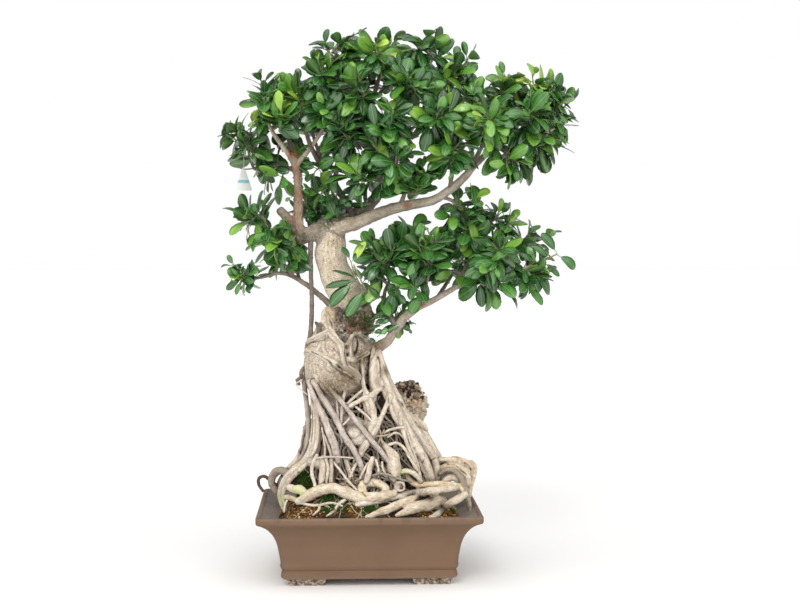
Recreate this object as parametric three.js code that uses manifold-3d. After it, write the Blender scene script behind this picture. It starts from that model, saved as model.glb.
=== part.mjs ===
// Ficus bonsai on exposed roots, in its rectangular clay pot.
// Millimetres, +Z up. Points are given from the middle of the pot on the table, with the front at -Y;
// the finished group is moved so that its origin lies on the table under the middle of the whole thing.
import * as THREE from 'three';
import { mergeVertices } from 'three/addons/utils/BufferGeometryUtils.js';
import Module from 'manifold-3d';

const wasm = await Module();
wasm.setup();
const { Manifold } = wasm;

// Driving dimensions of the pot
const potLength = 400;
const potDepth = 300;
const potHeight = 131;
const footHeight = 12.7;
const lipWidth = 9;
const floorTop = 24;
const drainRadius = 13;
const drainSpacing = 156;
const sideDifference = (potLength - potDepth) / 2;
const outerCorner = 10;
const innerCorner = 7;
const cornerPoints = 4;
const foot = { innerX: 77, outerX: 148, innerY: 58, outerY: 98, slope: 5 };

// Driving dimensions of the soil, the drain screens and the clearances
const clearance = 0.35;
const smallestEdge = 0.004;
const cornerShifts = [0, 0.0013, 0.0026];
const unevenness = 0.14;
const soilEdgeTop = 114;
const moundRise = 60;
const moundHalfLength = 164;
const moundHalfDepth = 114;
const moundSquareness = 4;
const moundFullness = 1.3;
const moundSteps = [0.96, 0.83, 0.66, 0.45, 0.2];
const screenSide = 46;
const screenThickness = 1.6;
const screenPitch = 13;
const screenOpening = 9;
const rootBall = { x: 8, y: 2, halfLength: 60, halfDepth: 42, bottom: 44, top: 160, taper: 0.8, sides: 12 };

// Driving dimensions of the leaves
const leafLength = 52;
const leafHalfWidth = 11.8;
const leafOutline = { widestAt: 0.46, shoulderAt: 0.8, keelAt: 0.17, shoulder: 0.85 };
const leafKeel = 1.8;
const leafDroop = 5;
const leafRoom = 0.56;
const leafStep = 8;
const leafTilt = { first: 44, more: 9, steps: 4, spread: 10 };
const leafSize = { least: 0.86, spread: 0.22 };
const leavesAtTip = 4;
const leavesAtSideTip = 3;
const twigFlats = 3;
const twigRadius = 2.4;
const twigTipRadius = 1.8;
const twigArch = 0.08;
const twigSpacing = 9;
const twigTries = 8;
const downwardCost = 0.6;
const leastRise = 8;
const jointMargin = 3.5;
const turnSpread = 0.3;

// Driving dimensions of the plain hang tag
const tag = {
  loopCentre: [-230, 44.9, 799.8], loopRadius: 5.2, loopSteps: 10, strapRadius: 0.7, strapLength: 46,
  width: 31, height: 40, thickness: 1, turn: 0.25, cornerRadius: 3,
};

// Rows of [x, y, z, radius], picked along each limb and root of the real tree.
const limbs = {
  trunk: [[-70, 0, 637, 27], [-68, 0, 610, 27.5], [-66, 2, 575, 28], [-51, 3, 536, 30], [-35, 4, 499, 36],
    [-29, 4, 471, 42]],
  stock: [[-33, 4, 482, 38], [-44, 0, 453, 50], [-53, -2, 420, 62], [-55, -4, 383, 66], [-59, -4, 354, 58],
    [-57, 0, 332, 38]],
  collar: [[-123, 0, 619, 11], [-99, 0, 630, 16], [-73, 0, 635, 21], [-49, -4, 645, 18], [-29, 0, 654, 13]],
  leftUpright: [[-118, 0, 619, 10], [-127, -5, 648, 9], [-127, -8, 689, 8.5], [-128, -10, 729, 8],
    [-136, -12, 769, 8]],
  leftFork: [[-136, -12, 762, 6], [-154, -20, 785, 5], [-173, -30, 812, 4], [-182, -35, 835, 3]],
  leftInner: [[-130, -12, 753, 5], [-110, -25, 776, 4.2], [-88, -40, 805, 3.5], [-75, -45, 827, 2.6]],
  leftBack: [[-136, -12, 765, 5], [-144, 10, 800, 4.2], [-154, 40, 844, 3.4], [-149, 58, 876, 2.6]],
  leftLow: [[-132, -10, 744, 4.5], [-163, 20, 755, 3.8], [-197, 36, 780, 3], [-238, 47, 806, 2.4]],
  leftStub: [[-118, 0, 623, 10], [-140, 0, 648, 9], [-160, 0, 670, 8.5]],
  rightLimb: [[-64, -10, 637, 18], [-42, -18, 643, 14], [-15, -25, 650, 12], [18, -32, 664, 11],
    [52, -38, 675, 10], [86, -42, 682, 9], [119, -45, 689, 8.5], [147, -48, 707, 8], [172, -50, 729, 7.5],
    [194, -48, 754, 6.5], [220, -45, 778, 5.5], [248, -35, 806, 4.6], [273, -25, 838, 3.6],
    [292, -20, 867, 2.8]],
  rightTip: [[233, -40, 793, 4.4], [273, -50, 795, 3.8], [311, -55, 806, 3], [334, -55, 817, 2.4]],
  rightFront: [[183, -50, 741, 4.8], [198, -76, 776, 4], [215, -90, 810, 3.2], [225, -96, 838, 2.6]],
  rightBack: [[248, -35, 806, 4], [274, 20, 834, 3.6], [303, 55, 856, 3], [328, 72, 870, 2.4]],
  midFront: [[147, -48, 707, 4.6], [149, -66, 744, 3.8], [144, -84, 782, 3.2], [149, -92, 817, 2.6]],
  link: [[129, -45, 695, 3.6], [151, -50, 687, 3.2], [168, -54, 669, 2.8], [177, -55, 653, 2.2]],
  centreFront: [[57, -38, 677, 4.4], [65, -60, 708, 3.8], [54, -82, 740, 3.2], [42, -94, 765, 2.6]],
  leader: [[-51, 10, 643, 15], [-18, 20, 665, 13], [8, 28, 686, 11], [23, 30, 712, 9.5], [16, 25, 749, 8.5],
    [6, 20, 786, 7.5], [2, 15, 828, 6.5], [8, 10, 870, 5.2], [19, 10, 907, 4], [23, 10, 937, 3]],
  leaderRight: [[23, 30, 709, 7.5], [62, 50, 732, 6.4], [110, 70, 767, 5.2], [155, 84, 802, 4.2],
    [189, 88, 829, 3.2]],
  topRight: [[8, 20, 801, 5.6], [31, -8, 836, 5], [58, -28, 874, 4.2], [76, -38, 909, 3.4],
    [86, -40, 938, 2.6]],
  topLeft: [[4, 16, 823, 4.8], [-24, 0, 858, 4.2], [-46, -15, 893, 3.6], [-59, -24, 925, 2.6]],
  backRight: [[12, 25, 764, 5.4], [53, 60, 785, 4.6], [78, 86, 829, 3.8], [94, 96, 868, 2.8]],
  backLeft: [[6, 20, 786, 4.8], [-23, 50, 803, 4.2], [-47, 78, 840, 3.6], [-63, 90, 875, 2.8]],
  topBack: [[8, 10, 874, 4], [39, 40, 904, 3.2], [62, 60, 929, 2.6]],
  shoulder: [[62, -28, 877, 3.4], [103, -38, 887, 3], [132, -40, 898, 2.4]],
  darkLimb: [[-29, 10, 661, 8], [-42, 5, 689, 7], [-64, -5, 722, 6.4], [-84, -15, 751, 5.8],
    [-102, -30, 782, 4.8], [-115, -44, 818, 3.8], [-122, -46, 850, 2.8]],
  darkFront: [[-64, -5, 722, 4.6], [-51, -38, 757, 3.8], [-42, -62, 791, 3.2], [-35, -72, 822, 2.6]],
  darkBack: [[-84, -15, 751, 4.4], [-92, 26, 783, 3.6], [-104, 54, 823, 3], [-108, 64, 854, 2.6]],
  lowLimb: [[-15, -22, 423, 13], [11, -30, 420, 11.5], [34, -36, 432, 10.5], [50, -42, 454, 10],
    [66, -46, 476, 8.6], [93, -50, 496, 7.4], [125, -52, 512, 6.4], [156, -52, 530, 5.8],
    [192, -50, 543, 5.2], [233, -45, 550, 4.4], [275, -40, 561, 3.8], [308, -35, 575, 3],
    [330, -32, 584, 2.4]],
  lowInner: [[50, -40, 459, 5.4], [36, -25, 484, 4.8], [29, -15, 513, 4.2], [38, -20, 542, 3.4],
    [47, -25, 568, 2.6]],
  lowFront: [[93, -50, 496, 4.6], [99, -68, 525, 3.8], [106, -78, 554, 3], [111, -80, 576, 2.4]],
  lowTop: [[156, -52, 530, 4.4], [176, -30, 564, 3.6], [196, -15, 597, 3], [211, -10, 626, 2.4]],
  lowFar: [[192, -50, 543, 4], [217, -72, 572, 3.2], [230, -82, 594, 2.4]],
  lowBack: [[233, -45, 550, 3.8], [262, -2, 575, 3.2], [280, 22, 599, 2.4]],
  lowBehind: [[125, -52, 512, 4.6], [142, 0, 532, 3.8], [164, 38, 559, 3.2], [182, 54, 578, 2.4]],
  leftLimb: [[-61, 20, 489, 7], [-85, 15, 511, 5.4], [-110, 8, 532, 4.8], [-136, 0, 549, 4.2],
    [-162, -5, 556, 3.6], [-191, -8, 549, 2.8], [-211, -8, 545, 2.2]],
  leftLimbUp: [[-136, 0, 549, 3.4], [-154, -20, 575, 3], [-166, -30, 602, 2.6], [-177, -34, 626, 2.2]],
  leftLimbBack: [[-125, 3, 541, 3.4], [-135, 28, 571, 3], [-151, 42, 597, 2.4]],
  frontShoot: [[-15, -26, 498, 4.6], [-4, -44, 510, 3.6], [-5, -62, 525, 2.6]],
  hangingRoot: [[-105, -4, 619, 5], [-105, -6, 560, 4.2], [-103, -6, 505, 4.2], [-105, -8, 454, 4.6],
    [-108, -12, 423, 7]],
};

const roots = {
  core: [[-42, 12, 356, 46], [-25, 18, 300, 50], [-7, 20, 244, 56], [4, 14, 189, 62], [6, 8, 150, 64]],
  burl: [[-77, -44, 445, 9], [-62, -46, 467, 15], [-55, -38, 486, 12]],
  legLeft: [[-117, -30, 364, 9], [-113, -36, 316, 9], [-108, -42, 262, 9.5], [-113, -42, 226, 10.5],
    [-131, -34, 197, 11.5], [-152, -22, 170, 11.5], [-160, -10, 144, 11], [-153, 6, 118, 8]],
  legLeftInner: [[-101, -26, 338, 7.5], [-95, -32, 279, 8], [-100, -34, 234, 8.5], [-119, -28, 204, 8],
    [-137, -12, 175, 7.5], [-145, -2, 146, 6]],
  legLeftRear: [[-109, 12, 264, 7], [-126, 24, 215, 7], [-148, 36, 187, 6.5], [-166, 44, 158, 6],
    [-160, 56, 124, 5]],
  slantA: [[-107, -46, 355, 5], [-87, -56, 305, 5.4], [-69, -60, 259, 7], [-62, -60, 216, 8],
    [-62, -54, 180, 6], [-66, -50, 146, 4]],
  slantB: [[-100, -50, 366, 5.4], [-69, -62, 313, 5.4], [-41, -68, 257, 5.4], [-14, -66, 199, 5],
    [1, -54, 152, 3.6]],
  slantC: [[-86, -54, 381, 4.4], [-51, -66, 325, 4.2], [-16, -72, 270, 4.4], [17, -72, 218, 4.6],
    [49, -58, 160, 3.6]],
  midLeg: [[-6, -54, 417, 8], [-5, -58, 374, 8.5], [4, -60, 336, 9], [15, -60, 306, 8.5], [17, -60, 270, 7],
    [6, -62, 243, 6.6], [-14, -64, 215, 6], [-30, -58, 180, 5], [-36, -52, 152, 4]],
  legRight: [[11, -30, 437, 12], [27, -34, 401, 14], [45, -36, 357, 16], [65, -38, 310, 18],
    [83, -42, 262, 18], [99, -44, 217, 16], [112, -40, 182, 12], [118, -32, 148, 9]],
  legRightOuter: [[19, -2, 420, 11], [48, 0, 365, 13], [80, 4, 302, 14], [109, 4, 246, 13],
    [129, 0, 210, 12], [143, -6, 174, 10], [150, -6, 136, 8]],
  legRightFork: [[53, -52, 316, 10], [71, -56, 269, 10.5], [85, -58, 228, 9.5], [95, -54, 193, 7],
    [100, -48, 154, 5]],
  flatRoot: [[18, -66, 260, 8], [31, -70, 236, 13], [43, -70, 211, 14], [54, -64, 184, 10],
    [62, -58, 150, 7]],
  cutStub: [[57, 34, 272, 22], [69, 42, 301, 25], [84, 48, 326, 27], [88, 50, 341, 25]],
  stubLeg: [[76, 30, 280, 14], [98, 30, 261, 12], [113, 26, 239, 11], [131, 22, 206, 11], [145, 18, 166, 9]],
  burlRight: [[130, 4, 183, 12], [152, 14, 197, 17], [174, 22, 193, 20], [189, 26, 176, 16],
    [186, 20, 153, 12], [175, 12, 130, 8]],
  arcRight: [[143, -6, 187, 7], [163, -12, 188, 7], [179, -20, 171, 6.6], [186, -26, 150, 6],
    [188, -30, 122, 5]],
  propRight: [[133, -18, 202, 7], [133, -22, 173, 7.4], [134, -26, 138, 6]],
  snake: [[-129, -56, 133, 8], [-113, -58, 143, 10.5], [-91, -62, 157, 11], [-66, -64, 168, 11],
    [-44, -66, 162, 11], [-26, -70, 149, 11], [-5, -80, 141, 10.5], [18, -78, 143, 9.5],
    [37, -66, 152, 8.6], [50, -58, 165, 7.5]],
  pretzel: [[-9, -80, 143, 8.5], [-3, -66, 158, 8.6], [-12, -60, 175, 8.8], [3, -52, 184, 8.6],
    [24, -50, 180, 8.6], [41, -52, 168, 8.6], [33, -62, 152, 8]],
  longUpper: [[0, -91, 129, 5.6], [38, -79, 141, 7], [78, -64, 149, 7.6], [118, -46, 151, 7],
    [153, -40, 152, 7]],
  longLower: [[12, -100, 122, 5], [46, -90, 132, 8], [82, -75, 140, 8.6], [118, -50, 147, 7.6],
    [140, -46, 153, 6]],
  cutRoot: [[56, -102, 121, 6], [78, -95, 130, 10], [106, -78, 138, 12], [128, -58, 141, 12],
    [136, -55, 143, 11]],
  whiteRoot: [[115, -92, 120, 5], [128, -66, 130, 6.4], [147, -52, 138, 6.8], [165, -44, 143, 7],
    [174, -42, 122, 5]],
  orangeRoot: [[73, -50, 171, 5], [102, -50, 175, 6], [133, -44, 174, 6], [165, -36, 169, 5.4],
    [176, -34, 138, 4]],
  curlLeft: [[-150, 22, 160, 7], [-150, 26, 180, 8.6], [-163, 32, 190, 8.6], [-178, 36, 182, 8.4],
    [-186, 38, 165, 7.6], [-176, 36, 146, 6]],
  hookLeft: [[-172, 44, 153, 4.4], [-189, 54, 163, 4.6], [-202, 58, 161, 5], [-208, 58, 150, 5],
    [-204, 56, 139, 4.4]],
};

// The side that faces away has the same kind of legs, spread evenly round the core.
const rearLegs = {
  count: 8, firstAngle: 8, lastAngle: 172, angleSpread: 9, turnSpread: 0.3, centreX: -14, centreY: 8,
  leastThickness: 7.7, thicknessSpread: 5.5,
  top: { halfLength: 47, halfDepth: 47, z: 372, shift: -36, thick: 1 },
  knee: { halfLength: 61, halfDepth: 56, z: 292, shift: -10, thick: 1.1 },
  shin: { halfLength: 81, halfDepth: 67, z: 210, shift: 10, thick: 0.9 },
  foot: { halfLength: 118, halfDepth: 82, z: 0, shift: 18, thick: 0.6 },
};

// Sprays by part of the crown: the main tip and the side tip of each leafy twig.
const sprays = {
  crown_left: [
    [[-233, -6, 817], [-211, 14, 782]],
    [[-189, -44, 857], [-176, -16, 879]],
    [[-150, -14, 883], [-117, -40, 869]],
    [[-155, -80, 818], null],
    [[-208, 34, 746], [-222, 66, 770]],
    [[-91, -78, 832], [-62, -60, 849]],
    [[-146, 82, 874], [-138, 52, 800]],
  ],
  crown_top: [
    [[-59, -22, 963], [-25, 10, 946]],
    [[-84, -48, 908], [-102, -28, 888]],
    [[24, 4, 972], [-1, -34, 932]],
    [[94, -34, 968], [126, -20, 937]],
    [[63, -82, 893], [105, -76, 874]],
    [[-9, -88, 874], [-37, -66, 895]],
    [[-47, 92, 891], [-9, 80, 912]],
    [[166, -6, 924], [144, -44, 900]],
    [[56, 88, 948], [102, 100, 907]],
  ],
  crown_right: [
    [[197, -60, 885], [167, -74, 858]],
    [[257, -8, 887], [231, -40, 869]],
    [[310, -24, 889], [335, -6, 872]],
    [[342, -18, 857], [326, -48, 821]],
    [[286, -88, 842], null],
    [[219, -110, 833], [199, -106, 802]],
    [[306, -52, 781], [329, -20, 805]],
    [[249, -74, 772], [278, -40, 760]],
    [[296, 90, 849], [335, 70, 858]],
  ],
  crown_front: [
    [[29, -112, 815], [55, -94, 842]],
    [[-34, -96, 792], [-55, -86, 818]],
    [[96, -108, 809], [126, -88, 832]],
    [[143, -104, 774], [169, -82, 754]],
    [[43, -116, 748], [16, -104, 770]],
    [[-16, -88, 721], [-44, -62, 737]],
    [[101, -88, 718], [77, -74, 697]],
  ],
  crown_back: [
    [[145, 112, 851], [196, 84, 806]],
    [[-40, 104, 808], [-86, 86, 825]],
    [[34, 118, 847], [56, 96, 788]],
  ],
  low_right: [
    [[61, -44, 619], [83, -28, 641]],
    [[24, -66, 576], [-1, -50, 601]],
    [[94, -94, 587], [123, -82, 608]],
    [[-9, -88, 533], [-27, -84, 572]],
    [[138, -30, 564], [158, 36, 585]],
    [[184, -44, 615], [164, -58, 647]],
    [[224, -12, 648], [254, 0, 630]],
    [[232, -94, 594], [208, -90, 576]],
    [[290, 14, 619], [318, 30, 608]],
    [[320, -40, 597], [340, -30, 579]],
    [[206, -76, 536], [250, -60, 529]],
    [[287, -30, 550], null],
    [[51, -14, 472], null],
    [[195, 70, 574], [262, 46, 582]],
  ],
  low_left: [
    [[-220, -10, 641], [-194, -24, 659]],
    [[-171, -40, 619], [-142, -36, 604]],
    [[-143, -14, 575], [-164, 48, 597]],
    [[-216, -10, 556], [-229, -8, 542]],
    [[-85, 36, 668], [-126, 22, 664]],
  ],
};

const vec = (p) => new THREE.Vector3(p[0], p[1], p[2]);

// A repeatable draw between 0 and 1 for three whole numbers.
function chance(a, b, c) {
  const wave = Math.sin(a * 127.1 + b * 311.7 + c * 74.7) * 43758.5453;
  return wave - Math.floor(wave);
}

// Turns a three.js geometry into a solid for joining and cutting.
function solidFromGeometry(geometry) {
  const bare = geometry.clone();
  for (const name of Object.keys(bare.attributes)) {
    if (name !== 'position') bare.deleteAttribute(name);
  }
  const merged = mergeVertices(bare, 1e-4);
  return new Manifold(new wasm.Mesh({
    numProp: 3,
    vertProperties: new Float32Array(merged.attributes.position.array),
    triVerts: new Uint32Array(merged.index.array),
  }));
}

function solidFromPoints(points, triangles) {
  return new Manifold(new wasm.Mesh({
    numProp: 3,
    vertProperties: new Float32Array(points.flat()),
    triVerts: new Uint32Array(triangles.flat()),
  }));
}

function geometryFromSolid(solid) {
  const mesh = solid.getMesh();
  const geometry = new THREE.BufferGeometry();
  const stride = mesh.numProp;
  const positions = new Float32Array((mesh.vertProperties.length / stride) * 3);
  for (let i = 0; i < positions.length / 3; i += 1) {
    for (let k = 0; k < 3; k += 1) positions[i * 3 + k] = mesh.vertProperties[i * stride + k];
  }
  geometry.setAttribute('position', new THREE.BufferAttribute(positions, 3));
  geometry.setIndex([...mesh.triVerts]);
  geometry.computeVertexNormals();
  return geometry;
}

// Whether every corner of a solid stays its own point when its coordinates are rounded.
function hasClearCorners(solid) {
  const { vertProperties, numProp } = solid.getMesh();
  const count = vertProperties.length / numProp;
  const round = (value) => Math.round(value / smallestEdge);
  return cornerShifts.every((shift) => {
    const rounded = new Set();
    for (let i = 0; i < count; i += 1) {
      rounded.add([0, 1, 2].map((k) => round(vertProperties[i * numProp + k] + shift)).join(' '));
    }
    return rounded.size === count;
  });
}

// Skins a stack of rings, all with the same number of points, and closes both ends.
function loft(rings) {
  const size = rings[0].length;
  const points = rings.flat();
  const triangles = [];
  for (let r = 0; r < rings.length - 1; r += 1) {
    for (let i = 0; i < size; i += 1) {
      const a = r * size + i;
      const b = r * size + ((i + 1) % size);
      triangles.push([a, b, b + size], [a, b + size, a + size]);
    }
  }
  const centre = (ring) => [0, 1, 2].map((k) => ring.reduce((sum, p) => sum + p[k], 0) / size);
  const bottom = points.push(centre(rings[0])) - 1;
  const top = points.push(centre(rings[rings.length - 1])) - 1;
  const lastRing = (rings.length - 1) * size;
  for (let i = 0; i < size; i += 1) {
    const next = (i + 1) % size;
    triangles.push([bottom, next, i], [top, lastRing + i, lastRing + next]);
  }
  return solidFromPoints(points, triangles);
}

// Number of flats round a limb of a given radius.
function flatsFor(radius) {
  if (radius > 40) return 9;
  if (radius > 15) return 6;
  if (radius > 10) return 5;
  if (radius > 5.2) return 4;
  return 3;
}

// The direction in which every limb's first corner points, before it is squared to the limb.
const cornerDirection = new THREE.Vector3(0.35, 1, 0.1);

function squaredTo(along, direction) {
  return direction.clone().addScaledVector(along, -direction.dot(along)).normalize();
}

// A tapered, slightly uneven limb through a row of stations.
function limb(stations, seed, swell = 0) {
  const flats = flatsFor(Math.max(...stations.map((station) => station[3])));
  return tube(stations, flats, swell, (i, k) => 1 + unevenness * (chance(seed, i, k) - 0.5));
}

function tube(stations, flats, swell = 0, uneven = () => 1) {
  const curve = new THREE.CatmullRomCurve3(stations.map(vec), false, 'centripetal');
  let side = cornerDirection;
  const rings = stations.map((station, i) => {
    const t = i / (stations.length - 1);
    const along = curve.getTangent(t);
    side = squaredTo(along, side);
    const across = along.clone().cross(side);
    const end = i === 0 ? -swell : (i === stations.length - 1 ? swell : 0);
    const centre = vec(station).addScaledVector(along, end);
    const ring = [];
    for (let k = 0; k < flats; k += 1) {
      const angle = (k / flats) * 2 * Math.PI;
      const radius = station[3] * uneven(i, k) + swell / Math.cos(Math.PI / flats);
      const p = centre.clone()
        .addScaledVector(side, Math.cos(angle) * radius)
        .addScaledVector(across, Math.sin(angle) * radius);
      ring.push([p.x, p.y, p.z]);
    }
    return ring;
  });
  return loft(rings);
}

// One corner-rounded rectangle at height z.
function rectangleRing(halfLength, halfDepth, radius, z) {
  const ring = [];
  for (let corner = 0; corner < 4; corner += 1) {
    const signX = corner === 0 || corner === 3 ? 1 : -1;
    const signY = corner < 2 ? 1 : -1;
    for (let i = 0; i < cornerPoints; i += 1) {
      const angle = (corner + i / (cornerPoints - 1)) * (Math.PI / 2);
      ring.push([
        signX * (halfLength - radius) + radius * Math.cos(angle),
        signY * (halfDepth - radius) + radius * Math.sin(angle),
        z,
      ]);
    }
  }
  return ring;
}

const potRing = (halfLength, z, radius = outerCorner) =>
  rectangleRing(halfLength, halfLength - sideDifference, radius, z);

// The pot: [half length, height] down the outside and up the inside of its wall.
const rimHalf = potLength / 2;
const outerProfile = [
  [149.6, footHeight], [156, 16.5], [157.8, 21], [156, 26], [154.8, 28.5], [158.2, 34], [159.4, 40],
  [161.4, 62], [166.6, 84], [175, 100], [187.5, 112.5], [198, 118.4], [rimHalf, 122], [rimHalf, potHeight],
];
const basin = [[138, floorTop], [145, 80], [152, 106]];
const wallUnderRim = [[164, soilEdgeTop], [172, 118], [rimHalf - lipWidth, 128.5]];
const innerProfile = [...basin, ...wallUnderRim, [rimHalf - lipWidth, potHeight + 5]];

function makePot() {
  const body = loft(outerProfile.map(([half, z]) => potRing(half, z)));
  const cavity = loft(innerProfile.map(([half, z]) => potRing(half, z, innerCorner)));
  const feet = [];
  for (const signX of [-1, 1]) {
    for (const signY of [-1, 1]) {
      const section = (inset, z) => {
        const xs = [foot.innerX + inset, foot.outerX - inset].map((x) => x * signX);
        const ys = [foot.innerY + inset, foot.outerY - inset].map((y) => y * signY);
        xs.sort((a, b) => a - b);
        ys.sort((a, b) => a - b);
        return [[xs[0], ys[0], z], [xs[1], ys[0], z], [xs[1], ys[1], z], [xs[0], ys[1], z]];
      };
      feet.push(loft([section(foot.slope, 0), section(0, footHeight + 4)]));
    }
  }
  const holes = [-1, 1].map((sign) => {
    const drill = new THREE.CylinderGeometry(drainRadius, drainRadius, 2 * floorTop, 12);
    drill.rotateX(Math.PI / 2);
    drill.translate((sign * drainSpacing) / 2, 0, floorTop - 10);
    return solidFromGeometry(drill);
  });
  return Manifold.union([body, ...feet]).subtract(cavity).subtract(Manifold.union(holes));
}

// How far out a point of the soil lies: 0 in the middle and 1 at the wall.
function moundReach(x, y) {
  const power = moundSquareness;
  return ((Math.abs(x) / moundHalfLength) ** power + (Math.abs(y) / moundHalfDepth) ** power) ** (1 / power);
}

// Height of the soil's mound, and its rings from the wall to the middle.
function moundHeight(x, y) {
  const reach = moundReach(x, y);
  return soilEdgeTop + moundRise * Math.max(0, 1 - reach * reach) ** moundFullness;
}

function moundRings(lift, grow) {
  const wall = potRing(moundHalfLength + grow, soilEdgeTop + lift, innerCorner);
  const rings = moundSteps.map((reach) => wall.map(([x, y]) => {
    const scale = reach / moundReach(x, y);
    return [x * scale, y * scale, moundHeight(x * scale, y * scale) + lift];
  }));
  return [wall, ...rings];
}

function makePlug(grow) {
  const ring = (scale, z) => {
    const points = [];
    for (let i = 0; i < rootBall.sides; i += 1) {
      const angle = (i / rootBall.sides) * 2 * Math.PI;
      points.push([
        rootBall.x + Math.cos(angle) * (rootBall.halfLength * scale + grow),
        rootBall.y + Math.sin(angle) * (rootBall.halfDepth * scale + grow),
        z,
      ]);
    }
    return points;
  };
  return loft([ring(rootBall.taper, rootBall.bottom - grow), ring(1, rootBall.top + grow)]);
}

// A square of plastic mesh over each drain hole, three openings each way.
function screenSolid(centreX, grow) {
  const side = screenSide + 2 * grow;
  const plate = new THREE.BoxGeometry(side, side, screenThickness + 2 * grow);
  plate.translate(centreX, 0, floorTop + clearance + screenThickness / 2);
  let solid = solidFromGeometry(plate);
  if (grow > 0) return solid;
  for (let column = -1; column <= 1; column += 1) {
    for (let row = -1; row <= 1; row += 1) {
      const opening = new THREE.BoxGeometry(screenOpening, screenOpening, 6 * screenThickness);
      opening.translate(centreX + column * screenPitch, row * screenPitch, floorTop);
      solid = solid.subtract(solidFromGeometry(opening));
    }
  }
  return solid;
}

function makeSoil() {
  const walls = basin.map(([half, z]) => potRing(half - clearance, z + clearance, innerCorner));
  const body = loft([...walls, ...moundRings(0, -clearance)]);
  const screens = [-1, 1].map((sign) => screenSolid((sign * drainSpacing) / 2, clearance));
  return body.subtract(makePlug(clearance)).subtract(Manifold.union(screens));
}

// Everything that the wood must stay above: the soil, the sloping inner wall and the rim.
function makeGround() {
  const beyond = rimHalf + 60;
  const wallTop = rimHalf - lipWidth - 3 * clearance;
  const [, bend, top] = wallUnderRim;
  return loft([
    potRing(beyond, -20), potRing(beyond, potHeight + clearance), potRing(wallTop, potHeight + clearance),
    potRing(wallTop - clearance, top[1] + clearance), potRing(bend[0] - clearance, bend[1] + 2 * clearance),
    ...moundRings(clearance, -clearance),
  ]);
}

function rearLegStations(index) {
  const share = index / (rearLegs.count - 1);
  const degrees = THREE.MathUtils.lerp(rearLegs.firstAngle, rearLegs.lastAngle, share)
    + rearLegs.angleSpread * (chance(index, 3, 1) - 0.5);
  const thickness = rearLegs.leastThickness + rearLegs.thicknessSpread * chance(index, 5, 4);
  return [rearLegs.top, rearLegs.knee, rearLegs.shin, rearLegs.foot].map((level) => {
    const twist = rearLegs.turnSpread * (chance(index, level.z, 2) - 0.5);
    const turned = THREE.MathUtils.degToRad(degrees) + twist;
    const x = rearLegs.centreX + level.shift + Math.cos(turned) * level.halfLength;
    const y = rearLegs.centreY + Math.sin(turned) * level.halfDepth;
    return [x, y, level === rearLegs.foot ? moundHeight(x, y) - 1 : level.z, thickness * level.thick];
  });
}

function woodSolids(swell) {
  const rows = [...Object.values(limbs), ...Object.values(roots)];
  for (let i = 0; i < rearLegs.count; i += 1) rows.push(rearLegStations(i));
  return rows.map((stations, seed) => limb(stations, seed, swell));
}

// A plain blank card on an integral strap, looped round a thin limb.
function makeTag() {
  const [x, y, z] = tag.loopCentre;
  const ring = [];
  for (let i = 0; i < tag.loopSteps; i += 1) {
    const angle = (i / tag.loopSteps) * 2 * Math.PI;
    ring.push([x, y + Math.sin(angle) * tag.loopRadius, z + Math.cos(angle) * tag.loopRadius]);
  }
  const section = new THREE.Shape().absarc(0, 0, tag.strapRadius, 0, 2 * Math.PI);
  const loopCurve = new THREE.CatmullRomCurve3(ring.map(vec), true);
  const loop = new THREE.ExtrudeGeometry(section, {
    steps: tag.loopSteps, curveSegments: 3, extrudePath: loopCurve,
  });
  const strapTop = z - tag.loopRadius;
  const strap = new THREE.CylinderGeometry(tag.strapRadius, tag.strapRadius, tag.strapLength, 5);
  strap.rotateX(Math.PI / 2);
  strap.translate(x, y, strapTop - tag.strapLength / 2 + tag.strapRadius / 2);
  const half = tag.width / 2;
  const round = tag.cornerRadius;
  const outline = new THREE.Shape();
  outline.moveTo(-round, 0);
  outline.lineTo(-half, round - tag.height);
  outline.absarc(round - half, round - tag.height, round, Math.PI, 1.5 * Math.PI);
  outline.absarc(half - round, round - tag.height, round, 1.5 * Math.PI, 2 * Math.PI);
  outline.lineTo(round, 0);
  outline.absarc(0, 0, round, 0, Math.PI);
  const card = new THREE.ExtrudeGeometry(outline, {
    depth: tag.thickness, bevelEnabled: false, curveSegments: 3,
  });
  card.translate(0, 0, -tag.thickness / 2);
  card.rotateX(Math.PI / 2);
  card.rotateZ(tag.turn);
  card.translate(x, y, strapTop - tag.strapLength);
  return Manifold.union([loop, strap, card].map(solidFromGeometry));
}

// One leaf as a closed, keeled, arched blade. Its narrow base is sunk in the twig.
function leafSolid(base, direction, up, size, fat = 0) {
  const along = direction.clone().normalize();
  const across = along.clone().cross(up).normalize();
  const normal = across.clone().cross(along).normalize();
  const length = leafLength * size + fat;
  const half = leafHalfWidth * size + fat;
  const keel = leafKeel + fat;
  const at = (t, side, height) => {
    const p = base.clone()
      .addScaledVector(along, t * length)
      .addScaledVector(across, side)
      .addScaledVector(normal, height + fat * 0.5 - leafDroop * size * t * t);
    return [p.x, p.y, p.z];
  };
  const { widestAt, shoulderAt, keelAt, shoulder } = leafOutline;
  const points = [
    at(0, 0, 0), at(widestAt, half, 0), at(widestAt, -half, 0), at(keelAt, 0, -keel),
    at(shoulderAt, half * shoulder, 0), at(shoulderAt, -half * shoulder, 0), at(1, 0, 0),
  ];
  const faces = [
    [0, 1, 2], [1, 5, 2], [1, 4, 5], [4, 6, 5],
    [0, 3, 1], [0, 2, 3], [3, 4, 1], [3, 6, 4], [3, 5, 6], [3, 2, 5],
  ];
  return solidFromPoints(points, faces);
}

const placed = (solid) => ({ solid, box: solid.boundingBox() });

function boxesMeet(a, b) {
  for (let k = 0; k < 3; k += 1) {
    if (a.min[k] > b.max[k] || b.min[k] > a.max[k]) return false;
  }
  return true;
}

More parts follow.
